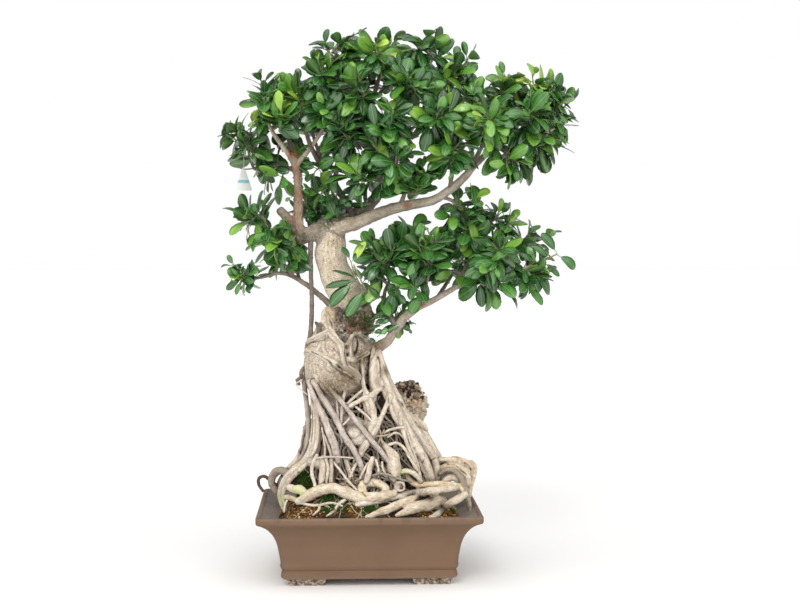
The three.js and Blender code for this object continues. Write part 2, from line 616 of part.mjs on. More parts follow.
function crossesAny(solid, others) {
  const { box } = placed(solid);
  return others.some((other) => boxesMeet(box, other.box) && solid.intersect(other.solid).volume() > 1e-6);
}

// Dense points along every limb, for finding where a twig grows from.
const growthSteps = 6;
const growthPoints = [];
for (const [name, stations] of Object.entries(limbs)) {
  if (name === 'hangingRoot' || name === 'stock') continue;
  for (let i = 0; i < stations.length - 1; i += 1) {
    for (let step = 0; step < growthSteps; step += 1) {
      growthPoints.push(vec(stations[i]).lerp(vec(stations[i + 1]), step / growthSteps));
    }
  }
}

// The growth point that reaches a tip by the shortest way without growing downwards.
const usedGrowthPoints = [];
function growthPointFor(tip) {
  let best = null;
  let bestCost = Infinity;
  for (const p of growthPoints) {
    if (usedGrowthPoints.some((used) => used.distanceTo(p) < twigSpacing)) continue;
    const cost = p.distanceTo(tip) + downwardCost * Math.max(0, p.z - tip.z + leastRise);
    if (cost < bestCost) {
      bestCost = cost;
      best = p;
    }
  }
  usedGrowthPoints.push(best);
  return best;
}

// The line of a twig from where it grows, past its nearer tip, to its further one.
function twigStations(start, tips, bend) {
  const points = tips.filter((tip) => tip).map(vec);
  points.sort((a, b) => a.distanceTo(start) - b.distanceTo(start));
  const span = points[0].distanceTo(start);
  const middle = start.clone().lerp(points[0], 0.5);
  middle.z += span * twigArch;
  middle.addScaledVector(vec(bend), span);
  const line = [start, middle, ...points];
  return line.map((p, i) => {
    const radius = THREE.MathUtils.lerp(twigRadius, twigTipRadius, i / (line.length - 1));
    return [p.x, p.y, p.z, radius];
  });
}

// The point and direction a given distance back from the end of a row of stations.
function placeFromEnd(stations, back) {
  let left = back;
  for (let i = stations.length - 1; i > 0; i -= 1) {
    const end = vec(stations[i]);
    const start = vec(stations[i - 1]);
    const span = end.distanceTo(start);
    if (left < span - jointMargin || i === 1) {
      const inside = THREE.MathUtils.clamp(left, jointMargin, span * 0.7);
      return { base: end.clone().lerp(start, inside / span), along: end.clone().sub(start).normalize() };
    }
    left = Math.max(left - span, jointMargin);
  }
  return null;
}

const third = (2 * Math.PI) / twigFlats;

// Leaf seats: at the end of the twig, and lower down where it has a nearer tip too.
function leafSeats(stations, seed, paired) {
  const endCount = paired ? leavesAtTip : leavesAtTip + 1;
  const innerStart = paired ? vec(stations.at(-1)).distanceTo(vec(stations.at(-2))) - leafStep : 0;
  const seats = [];
  for (let i = 0; i < (paired ? endCount + leavesAtSideTip : endCount); i += 1) {
    const inner = Math.max(innerStart, endCount * leafStep) + (i - endCount) * leafStep;
    seats.push({
      ...placeFromEnd(stations, i < endCount ? jointMargin + i * leafStep : inner),
      turn: i * third + turnSpread * (chance(seed, i, 7) - 0.5),
      tilt: THREE.MathUtils.degToRad(
        leafTilt.first + Math.min(i, leafTilt.steps) * leafTilt.more + leafTilt.spread * chance(seed, i, 8),
      ),
      size: leafSize.least + leafSize.spread * chance(seed, i, 9),
    });
  }
  return seats;
}

function leafAtSeat(seat, extraTurn, extraTilt, fat) {
  const faceMiddle = Math.PI / twigFlats;
  const radial = squaredTo(seat.along, cornerDirection)
    .applyAxisAngle(seat.along, faceMiddle + seat.turn + extraTurn);
  const tilt = seat.tilt + extraTilt;
  const direction = seat.along.clone().multiplyScalar(Math.cos(tilt)).addScaledVector(radial, Math.sin(tilt));
  return leafSolid(seat.base, direction, seat.along, seat.size, fat);
}

// The bends of a twig, and the turns of a leaf, that are tried in turn until it clears its neighbours.
const twigBends = [[0, 0, 0], [0.1, 0, 0], [-0.1, 0, 0], [0, 0.12, 0], [0, -0.12, 0], [0.15, 0.15, 0],
  [-0.15, -0.15, 0], [0.15, -0.15, 0.05], [-0.15, 0.15, 0.05], [0.22, 0, 0.1], [-0.22, 0, 0.1]];
const leafTurns = [[0, 0], [0, 0.35], [0.25, -0.2], [third, 0], [-third, 0], [third, 0.35], [-third, 0.35],
  [0, 0.7], [third, 0.7], [-third, 0.7]];

function routeFor(tips, seed, obstacles) {
  for (let attempt = 0; attempt < twigTries; attempt += 1) {
    const start = growthPointFor(vec(tips[0]));
    for (const bend of twigBends) {
      const stations = twigStations(start, tips, bend);
      const wider = stations.map(([x, y, z, r]) => [x, y, z, r + 2 * clearance]);
      if (!crossesAny(tube(wider, twigFlats), obstacles)) return stations;
    }
  }
  throw new Error(`no clear way for twig ${seed}`);
}

// The leaves of one twig. One that would cross a neighbour is turned clear, or left off.
function makeSpray(branch, obstacles) {
  const { stations, seed, paired, twig } = branch;
  const own = [];
  let spray = twig;
  for (const seat of leafSeats(stations, seed, paired)) {
    for (const [turn, tilt] of leafTurns) {
      const leaf = leafAtSeat(seat, turn, tilt, 0);
      const room = leafAtSeat(seat, turn, tilt, leafRoom);
      if (crossesAny(room, obstacles) || crossesAny(leaf, own)) continue;
      const joined = spray.add(leaf);
      if (joined.decompose().length === 1 && hasClearCorners(joined)) {
        own.push(placed(leaf));
        spray = joined;
        break;
      }
    }
  }
  return spray;
}

function largestPiece(solid) {
  const pieces = solid.decompose();
  pieces.sort((a, b) => b.volume() - a.volume());
  return pieces[0];
}

// Materials
const material = (color, roughness, metalness = 0) =>
  new THREE.MeshStandardMaterial({ color, roughness, metalness, flatShading: true });
const clay = material(0x876e5c, 0.8);
const soilMaterial = material(0x8a6640, 1);
const screenMaterial = material(0x2c2e2c, 0.7);
const bark = material(0xcfc0ab, 0.85);
const leafGreen = material(0x2f6b2c, 0.4);
const cardWhite = material(0xf2f2ef, 0.6);

const tree = new THREE.Group();

function addPiece(name, solid, look) {
  const mesh = new THREE.Mesh(geometryFromSolid(solid), look);
  mesh.name = name;
  tree.add(mesh);
}

addPiece('pot', makePot(), clay);
addPiece('soil', largestPiece(makeSoil()), soilMaterial);
addPiece('drain_screen_left', screenSolid(-drainSpacing / 2, 0), screenMaterial);
addPiece('drain_screen_right', screenSolid(drainSpacing / 2, 0), screenMaterial);

const ground = makeGround();
const plug = makePlug(0);
const wood = largestPiece(Manifold.union(woodSolids(0)).subtract(ground).add(plug));
addPiece('wood', wood, bark);

const woodZone = Manifold.union(woodSolids(clearance));
const hangTag = makeTag();
addPiece('hang_tag', hangTag, cardWhite);

// All the twigs come first, clear of each other, and then the leaves of each in turn.
const obstacles = [placed(hangTag)];
const branches = [];
for (const [region, list] of Object.entries(sprays)) {
  list.forEach((tips, i) => {
    const seed = branches.length + 1;
    const stations = routeFor(tips, seed, obstacles);
    const twig = largestPiece(tube(stations, twigFlats).subtract(woodZone));
    obstacles.push(placed(twig));
    branches.push({ name: `${region}_spray_${i + 1}`, stations, seed, paired: Boolean(tips[1]), twig });
  });
}
obstacles.push(placed(woodZone));
branches.forEach((branch, i) => {
  const others = obstacles.filter((_, k) => k !== i + 1);
  const spray = makeSpray(branch, others);
  obstacles[i + 1] = placed(spray);
  addPiece(branch.name, spray, leafGreen);
});

const bounds = new THREE.Box3().setFromObject(tree);
const middle = bounds.getCenter(new THREE.Vector3());
tree.children.forEach((mesh) => mesh.geometry.translate(-middle.x, -middle.y, -bounds.min.z));

export default tree;
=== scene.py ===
import math

import bpy
import numpy as np
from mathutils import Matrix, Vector, bvhtree, kdtree, noise


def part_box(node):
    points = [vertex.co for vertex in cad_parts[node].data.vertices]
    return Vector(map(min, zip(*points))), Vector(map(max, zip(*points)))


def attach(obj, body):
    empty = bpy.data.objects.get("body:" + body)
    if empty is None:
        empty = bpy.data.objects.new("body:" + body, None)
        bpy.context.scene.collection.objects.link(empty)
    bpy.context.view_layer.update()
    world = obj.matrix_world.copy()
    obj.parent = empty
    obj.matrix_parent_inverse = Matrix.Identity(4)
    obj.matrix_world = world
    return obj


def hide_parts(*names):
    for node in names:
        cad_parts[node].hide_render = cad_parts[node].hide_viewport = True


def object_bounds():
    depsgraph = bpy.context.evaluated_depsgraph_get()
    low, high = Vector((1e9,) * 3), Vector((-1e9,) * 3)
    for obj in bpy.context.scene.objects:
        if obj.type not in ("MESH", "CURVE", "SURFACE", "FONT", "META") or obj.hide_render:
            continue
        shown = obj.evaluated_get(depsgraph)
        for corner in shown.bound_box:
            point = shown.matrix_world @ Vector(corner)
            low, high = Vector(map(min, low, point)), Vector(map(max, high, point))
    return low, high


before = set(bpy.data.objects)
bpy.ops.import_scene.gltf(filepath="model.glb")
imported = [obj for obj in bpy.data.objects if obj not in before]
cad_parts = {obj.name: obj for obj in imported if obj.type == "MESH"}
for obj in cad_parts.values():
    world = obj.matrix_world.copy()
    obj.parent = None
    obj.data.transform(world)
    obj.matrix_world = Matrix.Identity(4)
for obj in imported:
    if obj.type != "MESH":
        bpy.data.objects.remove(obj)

cad_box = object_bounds()


# Camera. The photograph looks almost level along +Y from two and a half metres, a little left of the
# middle, through a lens that takes in 17 degrees of height. Here and below, points are given in
# millimetres from the middle of the pot on the table, with the front at -Y.
MM = 0.001
pot_low, pot_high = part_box("pot")
pot_middle = np.array([(pot_low[0] + pot_high[0]) / 2, (pot_low[1] + pot_high[1]) / 2, 0.0])


def placed(points):
    """Millimetre points, or rows of points and radii, in the frame's metres."""
    rows = np.array(points, float) * MM
    rows[..., :3] += pot_middle
    return rows


camera_data = bpy.data.cameras.new("camera")
camera_data.lens = 59.9
camera_data.sensor_width = 36.0
camera_data.clip_end = 50.0
camera = bpy.data.objects.new("camera", camera_data)
bpy.context.collection.objects.link(camera)
camera_place = placed([-55, -2450, 606])
camera_aim = placed([59, 0, 496])
camera.location = camera_place
camera.rotation_euler = Vector(camera_aim - camera_place).to_track_quat("-Z", "Y").to_euler()
bpy.context.scene.camera = camera


# Pot. A moulded bonsai pot of unglazed brown stoneware on four feet: a flat lip, a cove under it and
# two rounded ridges round its base. It was pressed in a mould, fired and wiped, so its walls are
# matt, a little uneven, and dusty towards the feet.
pot_half_length, pot_half_depth = 200.0, 150.0
pot_corner, pot_inner_corner = 10.0, 7.0
pot_outside = [
    [[149.6, 12.7], [153.5, 13.2], [156.2, 15.0], [157.7, 18.0], [157.8, 21.0], [156.6, 24.6], [155.2, 26.6]],
    [[154.8, 28.5], [156.4, 30.3], [158.2, 33.4], [159.2, 37.0], [159.3, 39.2]],
    [
        [158.4, 40.4], [159.4, 50.0], [161.4, 62.0], [163.6, 74.0], [166.6, 84.0], [170.2, 92.5],
        [175.0, 100.0], [181.0, 107.0], [187.5, 112.5], [193.2, 116.0], [198.0, 118.4]],
    [[199.4, 119.6], [200.0, 121.8]],
    [[200.0, 129.6], [199.4, 130.7], [198.2, 131.0]]]
pot_inside = [
    [[193.2, 131.0], [192.0, 130.2], [191.2, 129.0]],
    [[190.6, 128.4], [182.0, 123.2], [172.0, 118.0], [164.0, 114.0]],
    [[152.0, 106.0], [145.0, 80.0], [138.0, 24.0]]]
pot_wall_step, pot_ring_step = 6.5, 11.0
pot_unevenness, pot_wave = 0.45, 70
pot_edge_angle, foot_edge_angle = 50, 40
foot_box = {"inner_x": 77, "outer_x": 148, "inner_y": 58, "outer_y": 98, "height": 14.5, "slope": 4.0}
foot_steps, foot_levels, foot_bite, bite_wave = 14, 7, 2.6, 9
drain_radius, drain_spacing, drill_sides, drill_height = 13.0, 156.0, 32, 40


def linear(hex_colour):
    """An sRGB hex colour as the linear colour that the shaders take."""
    parts = [int(hex_colour[i:i + 2], 16) / 255 for i in (1, 3, 5)]
    return (*[p / 12.92 if p <= 0.04045 else ((p + 0.055) / 1.055) ** 2.4 for p in parts], 1.0)


def add(tree, kind, inputs=None, output=0, stops=(), **settings):
    """Adds one shader node with its settings, its values, colours or links by socket, and a ramp's stops.
    It gives back one of the node's outputs, or all of them where the output is None."""
    node = tree.nodes.new("ShaderNode" + kind)
    for name, value in settings.items():
        setattr(node, name, value)
    for socket, value in (inputs or {}).items():
        if isinstance(value, bpy.types.NodeSocket):
            tree.links.new(value, node.inputs[socket])
        else:
            node.inputs[socket].default_value = linear(value) if isinstance(value, str) else value
    for i, (place, colour) in enumerate(stops):
        stop = node.color_ramp.elements[i] if i < 2 else node.color_ramp.elements.new(place)
        stop.position = place
        stop.color = linear(colour)
    return node.outputs if output is None else node.outputs[output]


def material(name, roughness, ior=1.5, **sockets):
    """A new material with its principled shader, ready for the nodes that colour it."""
    made = bpy.data.materials.new(name)
    made.use_nodes = True
    shader = made.node_tree.nodes["Principled BSDF"]
    shader.inputs["Roughness"].default_value = roughness
    shader.inputs["IOR"].default_value = ior
    for socket, value in sockets.items():
        shader.inputs[socket.replace("_", " ")].default_value = value
    return made, made.node_tree, shader


def link(tree, shader, socket, output):
    """Joins a node's output to a socket of the principled shader."""
    tree.links.new(output, shader.inputs[socket])


def unglazed_clay():
    """Brown stoneware straight from the kiln: matt and dense, faintly streaked by the wiping of the
    mould, with a grain of under a millimetre, pale dust low down, a lip lightened along its top by wear and
    by a painted highlight, and dark runs under it."""
    made, tree, shader = material("unglazed_clay", 0.78, Specular_IOR_Level=0.35)
    place = add(tree, "TexCoord", output="Object")
    height = add(tree, "SeparateXYZ", {0: place}, output="Z")
    across_wall = add(tree, "Mapping", {"Vector": place, "Scale": (9, 9, 60)})
    down_wall = add(tree, "Mapping", {"Vector": place, "Scale": (60, 20, 5)})
    cloud = add(tree, "TexNoise", {"Vector": place, "Scale": 11.0, "Detail": 5.0})
    wiped = add(tree, "TexNoise", {"Vector": across_wall, "Scale": 1.0, "Detail": 4.0})
    runs = add(tree, "TexNoise", {"Vector": down_wall, "Scale": 1.0, "Detail": 4.0})
    grain = add(tree, "TexNoise", {"Vector": place, "Scale": 900.0, "Detail": 2.0})
    low = add(tree, "MapRange", {0: height, 1: 0.020, 2: 0.004})
    dust = add(tree, "Math", {0: low, 1: grain}, operation="MULTIPLY", use_clamp=True)
    # A band round the top of the lip, lightened partly for wear and partly as a painted highlight where light
    # falls on it.
    worn_and_lit_lip = add(tree, "MapRange", {0: height, 1: 0.1265, 2: 0.1315, 4: 0.55})
    high = add(tree, "MapRange", {0: height, 1: 0.09, 2: 0.13})
    high_runs = add(tree, "Math", {0: runs, 1: high}, operation="MULTIPLY")
    stained = add(tree, "MapRange", {0: high_runs, 1: 0.48, 2: 0.62, 4: 0.4})
    speck = add(tree, "TexVoronoi", {"Vector": place, "Scale": 140.0}, output="Distance")
    dots = add(tree, "MapRange", {0: speck, 1: 0.10, 2: 0.04, 4: 0.5})
    tint = add(tree, "ValToRGB", {0: cloud}, stops=[(0.3, "#67503c"), (0.7, "#775d48")])
    for share, colour in ((wiped, "#745c4a"), (dust, "#b8ab9c"), (worn_and_lit_lip, "#85776a"), (stained, "#4c3c30"),
                          (dots, "#5c4636")):
        tint = add(tree, "Mix", {0: share, 6: tint, 7: colour}, output=2, data_type="RGBA")
    link(tree, shader, "Base Color", tint)
    relief = add(tree, "Math", {0: grain, 1: wiped}, operation="ADD")
    bump = add(tree, "Bump", {"Height": relief, "Strength": 0.35, "Distance": 0.0006})
    link(tree, shader, "Normal", bump)
    return made


def broken_clay():
    """Where the feet were knocked out of their mould: the open, sandy inside of the stoneware, pale
    with dust, pitted and matt."""
    made, tree, shader = material("broken_clay", 0.95, Specular_IOR_Level=0.2)
    place = add(tree, "TexCoord", output="Object")
    pits = add(tree, "TexNoise", {"Vector": place, "Scale": 190.0, "Detail": 6.0})
    tint = add(tree, "ValToRGB", {0: pits}, stops=[(0.36, "#54463a"), (0.5, "#8a7a6b"), (0.66, "#c4b7a8")])
    link(tree, shader, "Base Color", tint)
    bump = add(tree, "Bump", {"Height": pits, "Strength": 0.9, "Distance": 0.002})
    link(tree, shader, "Normal", bump)
    return made


def basin_clay():
    """The same stoneware inside the lip, greyed by hard water, and darker where it stays damp."""
    made, tree, shader = material("basin_clay", 0.85, Specular_IOR_Level=0.3)
    place = add(tree, "TexCoord", output="Object")
    cloud = add(tree, "TexNoise", {"Vector": place, "Scale": 24.0, "Detail": 6.0})
    grain = add(tree, "TexNoise", {"Vector": place, "Scale": 700.0, "Detail": 2.0})
    tint = add(tree, "ValToRGB", {0: cloud}, stops=[(0.3, "#6f665f"), (0.7, "#8c8178")])
    link(tree, shader, "Base Color", tint)
    bump = add(tree, "Bump", {"Height": grain, "Strength": 0.4, "Distance": 0.0006})
    link(tree, shader, "Normal", bump)
    return made


def mesh_piece(name, points, faces, *materials, smooth=True):
    """A Blender object at the origin with the given points, faces and materials."""
    mesh = bpy.data.meshes.new(name)
    mesh.from_pydata(np.asarray(points).tolist(), [], faces if isinstance(faces, list) else faces.tolist())
    mesh.validate()
    if smooth:
        mesh.shade_smooth()
    made = bpy.data.objects.new(name, mesh)
    bpy.context.collection.objects.link(made)
    for one in materials:
        mesh.materials.append(one)
    return made


def finish_piece(piece, slot, *nodes):
    """Every piece rides on the one body and stands for its CAD nodes; the slot is not used."""
    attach(piece, "root")
    if nodes:
        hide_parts(*nodes)
    return piece


def rounded_rectangle(half_length, half_depth, corner, z):
    """One level ring of the pot: points a ring step apart along the sides, and an arc at each corner."""
    ring = []
    arc_steps = 6
    for k in range(4):
        turn = k * math.pi / 2
        cos, sin = round(math.cos(turn)), round(math.sin(turn))
        across, deep = (half_length, half_depth) if k % 2 == 0 else (half_depth, half_length)
        for i in range(arc_steps + 1):
            angle = i * math.pi / 2 / arc_steps
            x = across - corner + corner * math.cos(angle)
            y = deep - corner + corner * math.sin(angle)
            ring.append((x * cos - y * sin, x * sin + y * cos, z))
        side = 2 * (across - corner)
        count = int(2 * ((pot_half_length if k % 2 == 0 else pot_half_depth) - pot_corner) / pot_ring_step)
        for i in range(1, count):
            x, y = across - corner - side * i / count, deep
            ring.append((x * cos - y * sin, x * sin + y * cos, z))
    return ring


def smooth_line(rows, count_between):
    """The smooth line through some rows, with as many points between two as the function says."""
    padded = np.vstack([2 * rows[0] - rows[1], rows, 2 * rows[-1] - rows[-2]])
    line = []
    for a, b, c, d in zip(padded, padded[1:], padded[2:], padded[3:]):
        count = count_between(b, c)
        t = (np.arange(count) / count)[:, None]
        line.append(0.5 * (2 * b + (c - a) * t + (2 * a - 5 * b + 4 * c - d) * t ** 2
                           + (3 * b - 3 * c + d - a) * t ** 3))
    return np.vstack([*line, rows[-1:]])


def rounded_profile(stretches, step):
    """Profile points a step apart: smooth within each stretch, and crisp where two stretches meet."""
    def count_between(b, c):
        return max(1, math.ceil(np.linalg.norm(c - b) / step))
    return np.vstack([smooth_line(np.array(stretch, float), count_between) for stretch in stretches])


def ring_faces(rings, size, close_start=True, close_end=True):
    """Quads between rings that lie one after the other, with a flat face over each end."""
    faces = []
    for r in range(rings - 1):
        for i in range(size):
            a, b = r * size + i, r * size + (i + 1) % size
            faces.append((a, b, b + size, a + size))
    if close_start:
        faces.append(tuple(range(size - 1, -1, -1)))
    if close_end:
        faces.append(tuple(range((rings - 1) * size, rings * size)))
    return faces


def make_pot():
    """The pot as one closed skin of rings, outside and inside, with its drain holes drilled through."""
    outside = rounded_profile(pot_outside, pot_wall_step)
    inside = rounded_profile(pot_inside, pot_wall_step)
    difference = pot_half_length - pot_half_depth
    rings = [rounded_rectangle(half, half - difference, pot_corner, z) for half, z in outside]
    rings += [rounded_rectangle(half, half - difference, pot_inner_corner, z) for half, z in inside]
    size = len(rings[0])
    points = np.array([p for ring in rings for p in ring])
    for p in points:
        drift = noise.noise_vector(Vector(p) / pot_wave) * pot_unevenness
        p[:2] -= np.abs(drift[:2]) * np.sign(p[:2])
    pot = mesh_piece("pot_body", placed(points), ring_faces(len(rings), size), unglazed_clay(), basin_clay())
    first_inside = (len(outside) + 2) * size
    for face in pot.data.polygons:
        if min(face.vertices) >= first_inside:
            face.material_index = 1
    cutters = []
    for sign in (-1, 1):
        ring = [(sign * drain_spacing / 2 + drain_radius * math.cos(a), drain_radius * math.sin(a))
                for a in np.arange(drill_sides) * 2 * math.pi / drill_sides]
        drill = placed([(x, y, z) for z in (0, drill_height) for x, y in ring])
        cutters.append(mesh_piece("drill", drill, ring_faces(2, drill_sides)))
    for cutter in cutters:
        cut = pot.modifiers.new("drain_hole", "BOOLEAN")
        cut.object = cutter
        cut.solver = "EXACT"
    cut_mesh = bpy.data.meshes.new_from_object(pot.evaluated_get(bpy.context.evaluated_depsgraph_get()))
    pot.modifiers.clear()
    pot.data = cut_mesh
    for cutter in cutters:
        bpy.data.objects.remove(cutter)
    pot.data.set_sharp_from_angle(angle=math.radians(pot_edge_angle))
    return pot


def make_foot(sign_x, sign_y):
    """One foot: a low block, straight inside, whose outer faces were broken away and left rough."""
    low_x, high_x, low_y, high_y = [foot_box[k] for k in ("inner_x", "outer_x", "inner_y", "outer_y")]
    rings = []
    for level in range(foot_levels):
        t = level / (foot_levels - 1)
        inset = foot_box["slope"] * (1 - t) ** 1.5
        x0, x1, y0, y1 = low_x + inset, high_x - inset, low_y + inset, high_y - inset
        walk = [(x0, y0, x1, y0), (x1, y0, x1, y1), (x1, y1, x0, y1), (x0, y1, x0, y0)]
        ring = []
        for ax, ay, bx, by in walk:
            for i in range(foot_steps):
                x, y = ax + (bx - ax) * i / foot_steps, ay + (by - ay) * i / foot_steps
                rough = noise.noise(Vector((x * sign_x, y * sign_y, level * 4)) / bite_wave)
                bite = foot_bite * max(0.0, rough + 0.15)
                bite *= min(1.0, max(0.0, (y - y0) / 12))
                ring.append(((x - bite * 0.4) * sign_x, (y - bite) * sign_y, t * foot_box["height"]))
        rings.append(ring)
    if sign_x * sign_y < 0:
        rings = [ring[::-1] for ring in rings]
    points = [p for ring in rings for p in ring]
    return placed(points), ring_faces(len(rings), 4 * foot_steps)


def joined(parts):
    """Points and faces of several parts as those of one."""
    points, faces, start = [], [], 0
    for part_points, part_faces in parts:
        points.append(np.asarray(part_points))
        faces += [tuple(i + start for i in face) for face in part_faces]
        start += len(part_points)
    return np.vstack(points), faces


pot = finish_piece(make_pot(), "clay", "pot")
feet = mesh_piece("pot_feet", *joined([make_foot(x, y) for x in (-1, 1) for y in (-1, 1)]), broken_clay())
feet.data.set_sharp_from_angle(angle=math.radians(foot_edge_angle))
finish_piece(feet, "clay", "pot")


# Drain screens. Two squares of moulded black plastic mesh that keep the soil off the drain holes.
def moulded_polyethylene():
    """Black polyethylene: waxy, half matt, with a faint moulded grain."""
    made, tree, shader = material("moulded_polyethylene", 0.5, 1.51)
    place = add(tree, "TexCoord", output="Object")
    grain = add(tree, "TexNoise", {"Vector": place, "Scale": 600.0})
    tint = add(tree, "ValToRGB", {0: grain}, stops=[(0.3, "#1c1e1d"), (0.7, "#2c2e2c")])
    link(tree, shader, "Base Color", tint)
    return made


screen_plastic = moulded_polyethylene()
for side in ("left", "right"):
    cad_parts[f"drain_screen_{side}"].material_slots[0].material = screen_plastic


# Soil. Baked clay granules of two to five millimetres, golden where dry and brown where damp, heaped
# up under the roots. A crumbly bed fills the gaps, darker than the granules as painted shade between
# them, and thousands of loose granules lie on it.
soil_edge_top, mound_rise, mound_half_length, mound_half_depth = 114.0, 60.0, 164.0, 114.0
mound_squareness, mound_fullness = 4.0, 1.3
granule_count, granule_sizes, granule_lift = 6600, (1.2, 2.9), (-0.6, 1.4)
bed_columns, bed_rows, bed_sink, bed_bottom = 110, 78, 1.6, 100.0


def mound_height(x, y):
    """How high the soil stands over the table: level along the pot's walls, heaped up in the middle."""
    reach = ((abs(x) / mound_half_length) ** mound_squareness
             + (abs(y) / mound_half_depth) ** mound_squareness) ** (1 / mound_squareness)
    return soil_edge_top + mound_rise * max(0.0, 1 - reach * reach) ** mound_fullness


def baked_granules():
    """Fired clay crumb: dry, dusty and without shine, each granule of its own shade."""
    made, tree, shader = material("baked_granules", 0.95, Specular_IOR_Level=0.2)
    shade = add(tree, "Attribute", attribute_name="granule_shade", output="Fac")
    place = add(tree, "TexCoord", output="Object")
    patch = add(tree, "TexNoise", {"Vector": place, "Scale": 14.0, "Detail": 3.0})
    grain = add(tree, "TexNoise", {"Vector": place, "Scale": 900.0})
    dry = add(tree, "ValToRGB", {0: shade}, stops=[
        (0.0, "#42301d"), (0.45, "#80592d"), (0.8, "#a87e47"), (1.0, "#d3bf9a")])
    damp = add(tree, "MapRange", {0: patch, 1: 0.42, 2: 0.60})
    tint = add(tree, "Mix", {0: damp, 6: dry, 7: "#36281b"}, data_type="RGBA", output=2)
    link(tree, shader, "Base Color", tint)
    bump = add(tree, "Bump", {"Height": grain, "Strength": 0.5, "Distance": 0.0008})
    link(tree, shader, "Normal", bump)
    return made


def number_attribute(piece, name, values):
    """Stores one number for each point, for a material to read."""
    layer = piece.data.attributes.new(name, "FLOAT", "POINT")
    layer.data.foreach_set("value", np.asarray(values, np.float32))


def vector_attribute(piece, name, values):
    """Stores one vector for each point, for a material to read."""
    layer = piece.data.attributes.new(name, "FLOAT_VECTOR", "POINT")
    layer.data.foreach_set("vector", np.asarray(values, np.float32).ravel())


# One crumb: a lumpy eight-sided grain, which is stretched and broken afresh for each granule.
crumb_corners = np.array([(1, 0, 0), (-1, 0, 0), (0, 1, 0), (0, -1, 0), (0, 0, 1), (0, 0, -1)], float)
crumb_faces = [(0, 2, 4), (2, 1, 4), (1, 3, 4), (3, 0, 4), (2, 0, 5), (1, 2, 5), (3, 1, 5), (0, 3, 5)]


def crumbs(draw, middles, sizes):
    """Points and faces of broken grains, each of its own shape, at the given middles."""
    count, corners = len(middles), len(crumb_corners)
    turns = np.linalg.qr(draw.normal(0, 1, (count, 3, 3)))[0]
    turns *= np.sign(np.linalg.det(turns))[:, None, None]
    shapes = crumb_corners[None] * draw.uniform(0.7, 1.3, (count, corners, 1))
    shapes += draw.normal(0, 0.16, (count, corners, 3))
    points = np.einsum("nij,nkj->nik", shapes * np.asarray(sizes)[:, None, None], turns) + middles[:, None]
    faces = np.array(crumb_faces)[None] + corners * np.arange(count)[:, None, None]
    return points.reshape(-1, 3), faces.reshape(-1, 3)


def make_soil():
    """The crumbly bed, closed underneath, and the loose granules on it."""
    draw = np.random.default_rng(11)
    columns, rows = bed_columns, bed_rows
    points = []
    for row in range(rows + 1):
        for column in range(columns + 1):
            x = mound_half_length * (2 * column / columns - 1)
            y = mound_half_depth * (2 * row / rows - 1)
            rough = 1.1 * noise.noise(Vector((x, y, 0)) / 7) + 1.0 * noise.noise(Vector((x, y, 9)) / 3)
            points.append((x, y, mound_height(x, y) - bed_sink + rough))
    stride = columns + 1
    faces = []
    for row in range(rows):
        for column in range(columns):
            a = row * stride + column
            faces.append((a, a + 1, a + 1 + stride, a + stride))
    edge = list(range(columns)) + [columns + stride * i for i in range(rows)]
    edge += [rows * stride + columns - i for i in range(columns)] + [(rows - i) * stride for i in range(rows)]
    under = len(points)
    points += [(*points[i][:2], bed_bottom) for i in edge]
    for i, a in enumerate(edge):
        k = (i + 1) % len(edge)
        faces.append((edge[k], a, under + i, under + k))
    faces.append(tuple(range(under + len(edge) - 1, under - 1, -1)))
    bed = mesh_piece("soil_bed", placed(points), faces, baked_granules(), smooth=False)
    # The bed keeps to the darkest granule tones, as painted shade in the gaps between the granules.
    number_attribute(bed, "granule_shade", draw.uniform(0.0, 0.3, len(points)))
    sizes = draw.uniform(*granule_sizes, granule_count)
    middles = draw.uniform(-1, 1, (granule_count, 2)) * (mound_half_length - 2, mound_half_depth - 2)
    lifts = draw.uniform(*granule_lift, granule_count)
    heights = [mound_height(x, y) + lift for (x, y), lift in zip(middles, lifts)]
    points, faces = crumbs(draw, np.column_stack([middles, heights]), sizes)
    clay = bpy.data.materials["baked_granules"]
    loose = mesh_piece("soil_granules", placed(points), faces, clay, smooth=False)
    shades = draw.uniform(0.05, 1.0, granule_count) ** 1.1
    number_attribute(loose, "granule_shade", np.repeat(shades, len(crumb_corners)))
    return bed, loose


for heap in make_soil():
    finish_piece(heap, "soil", "soil")


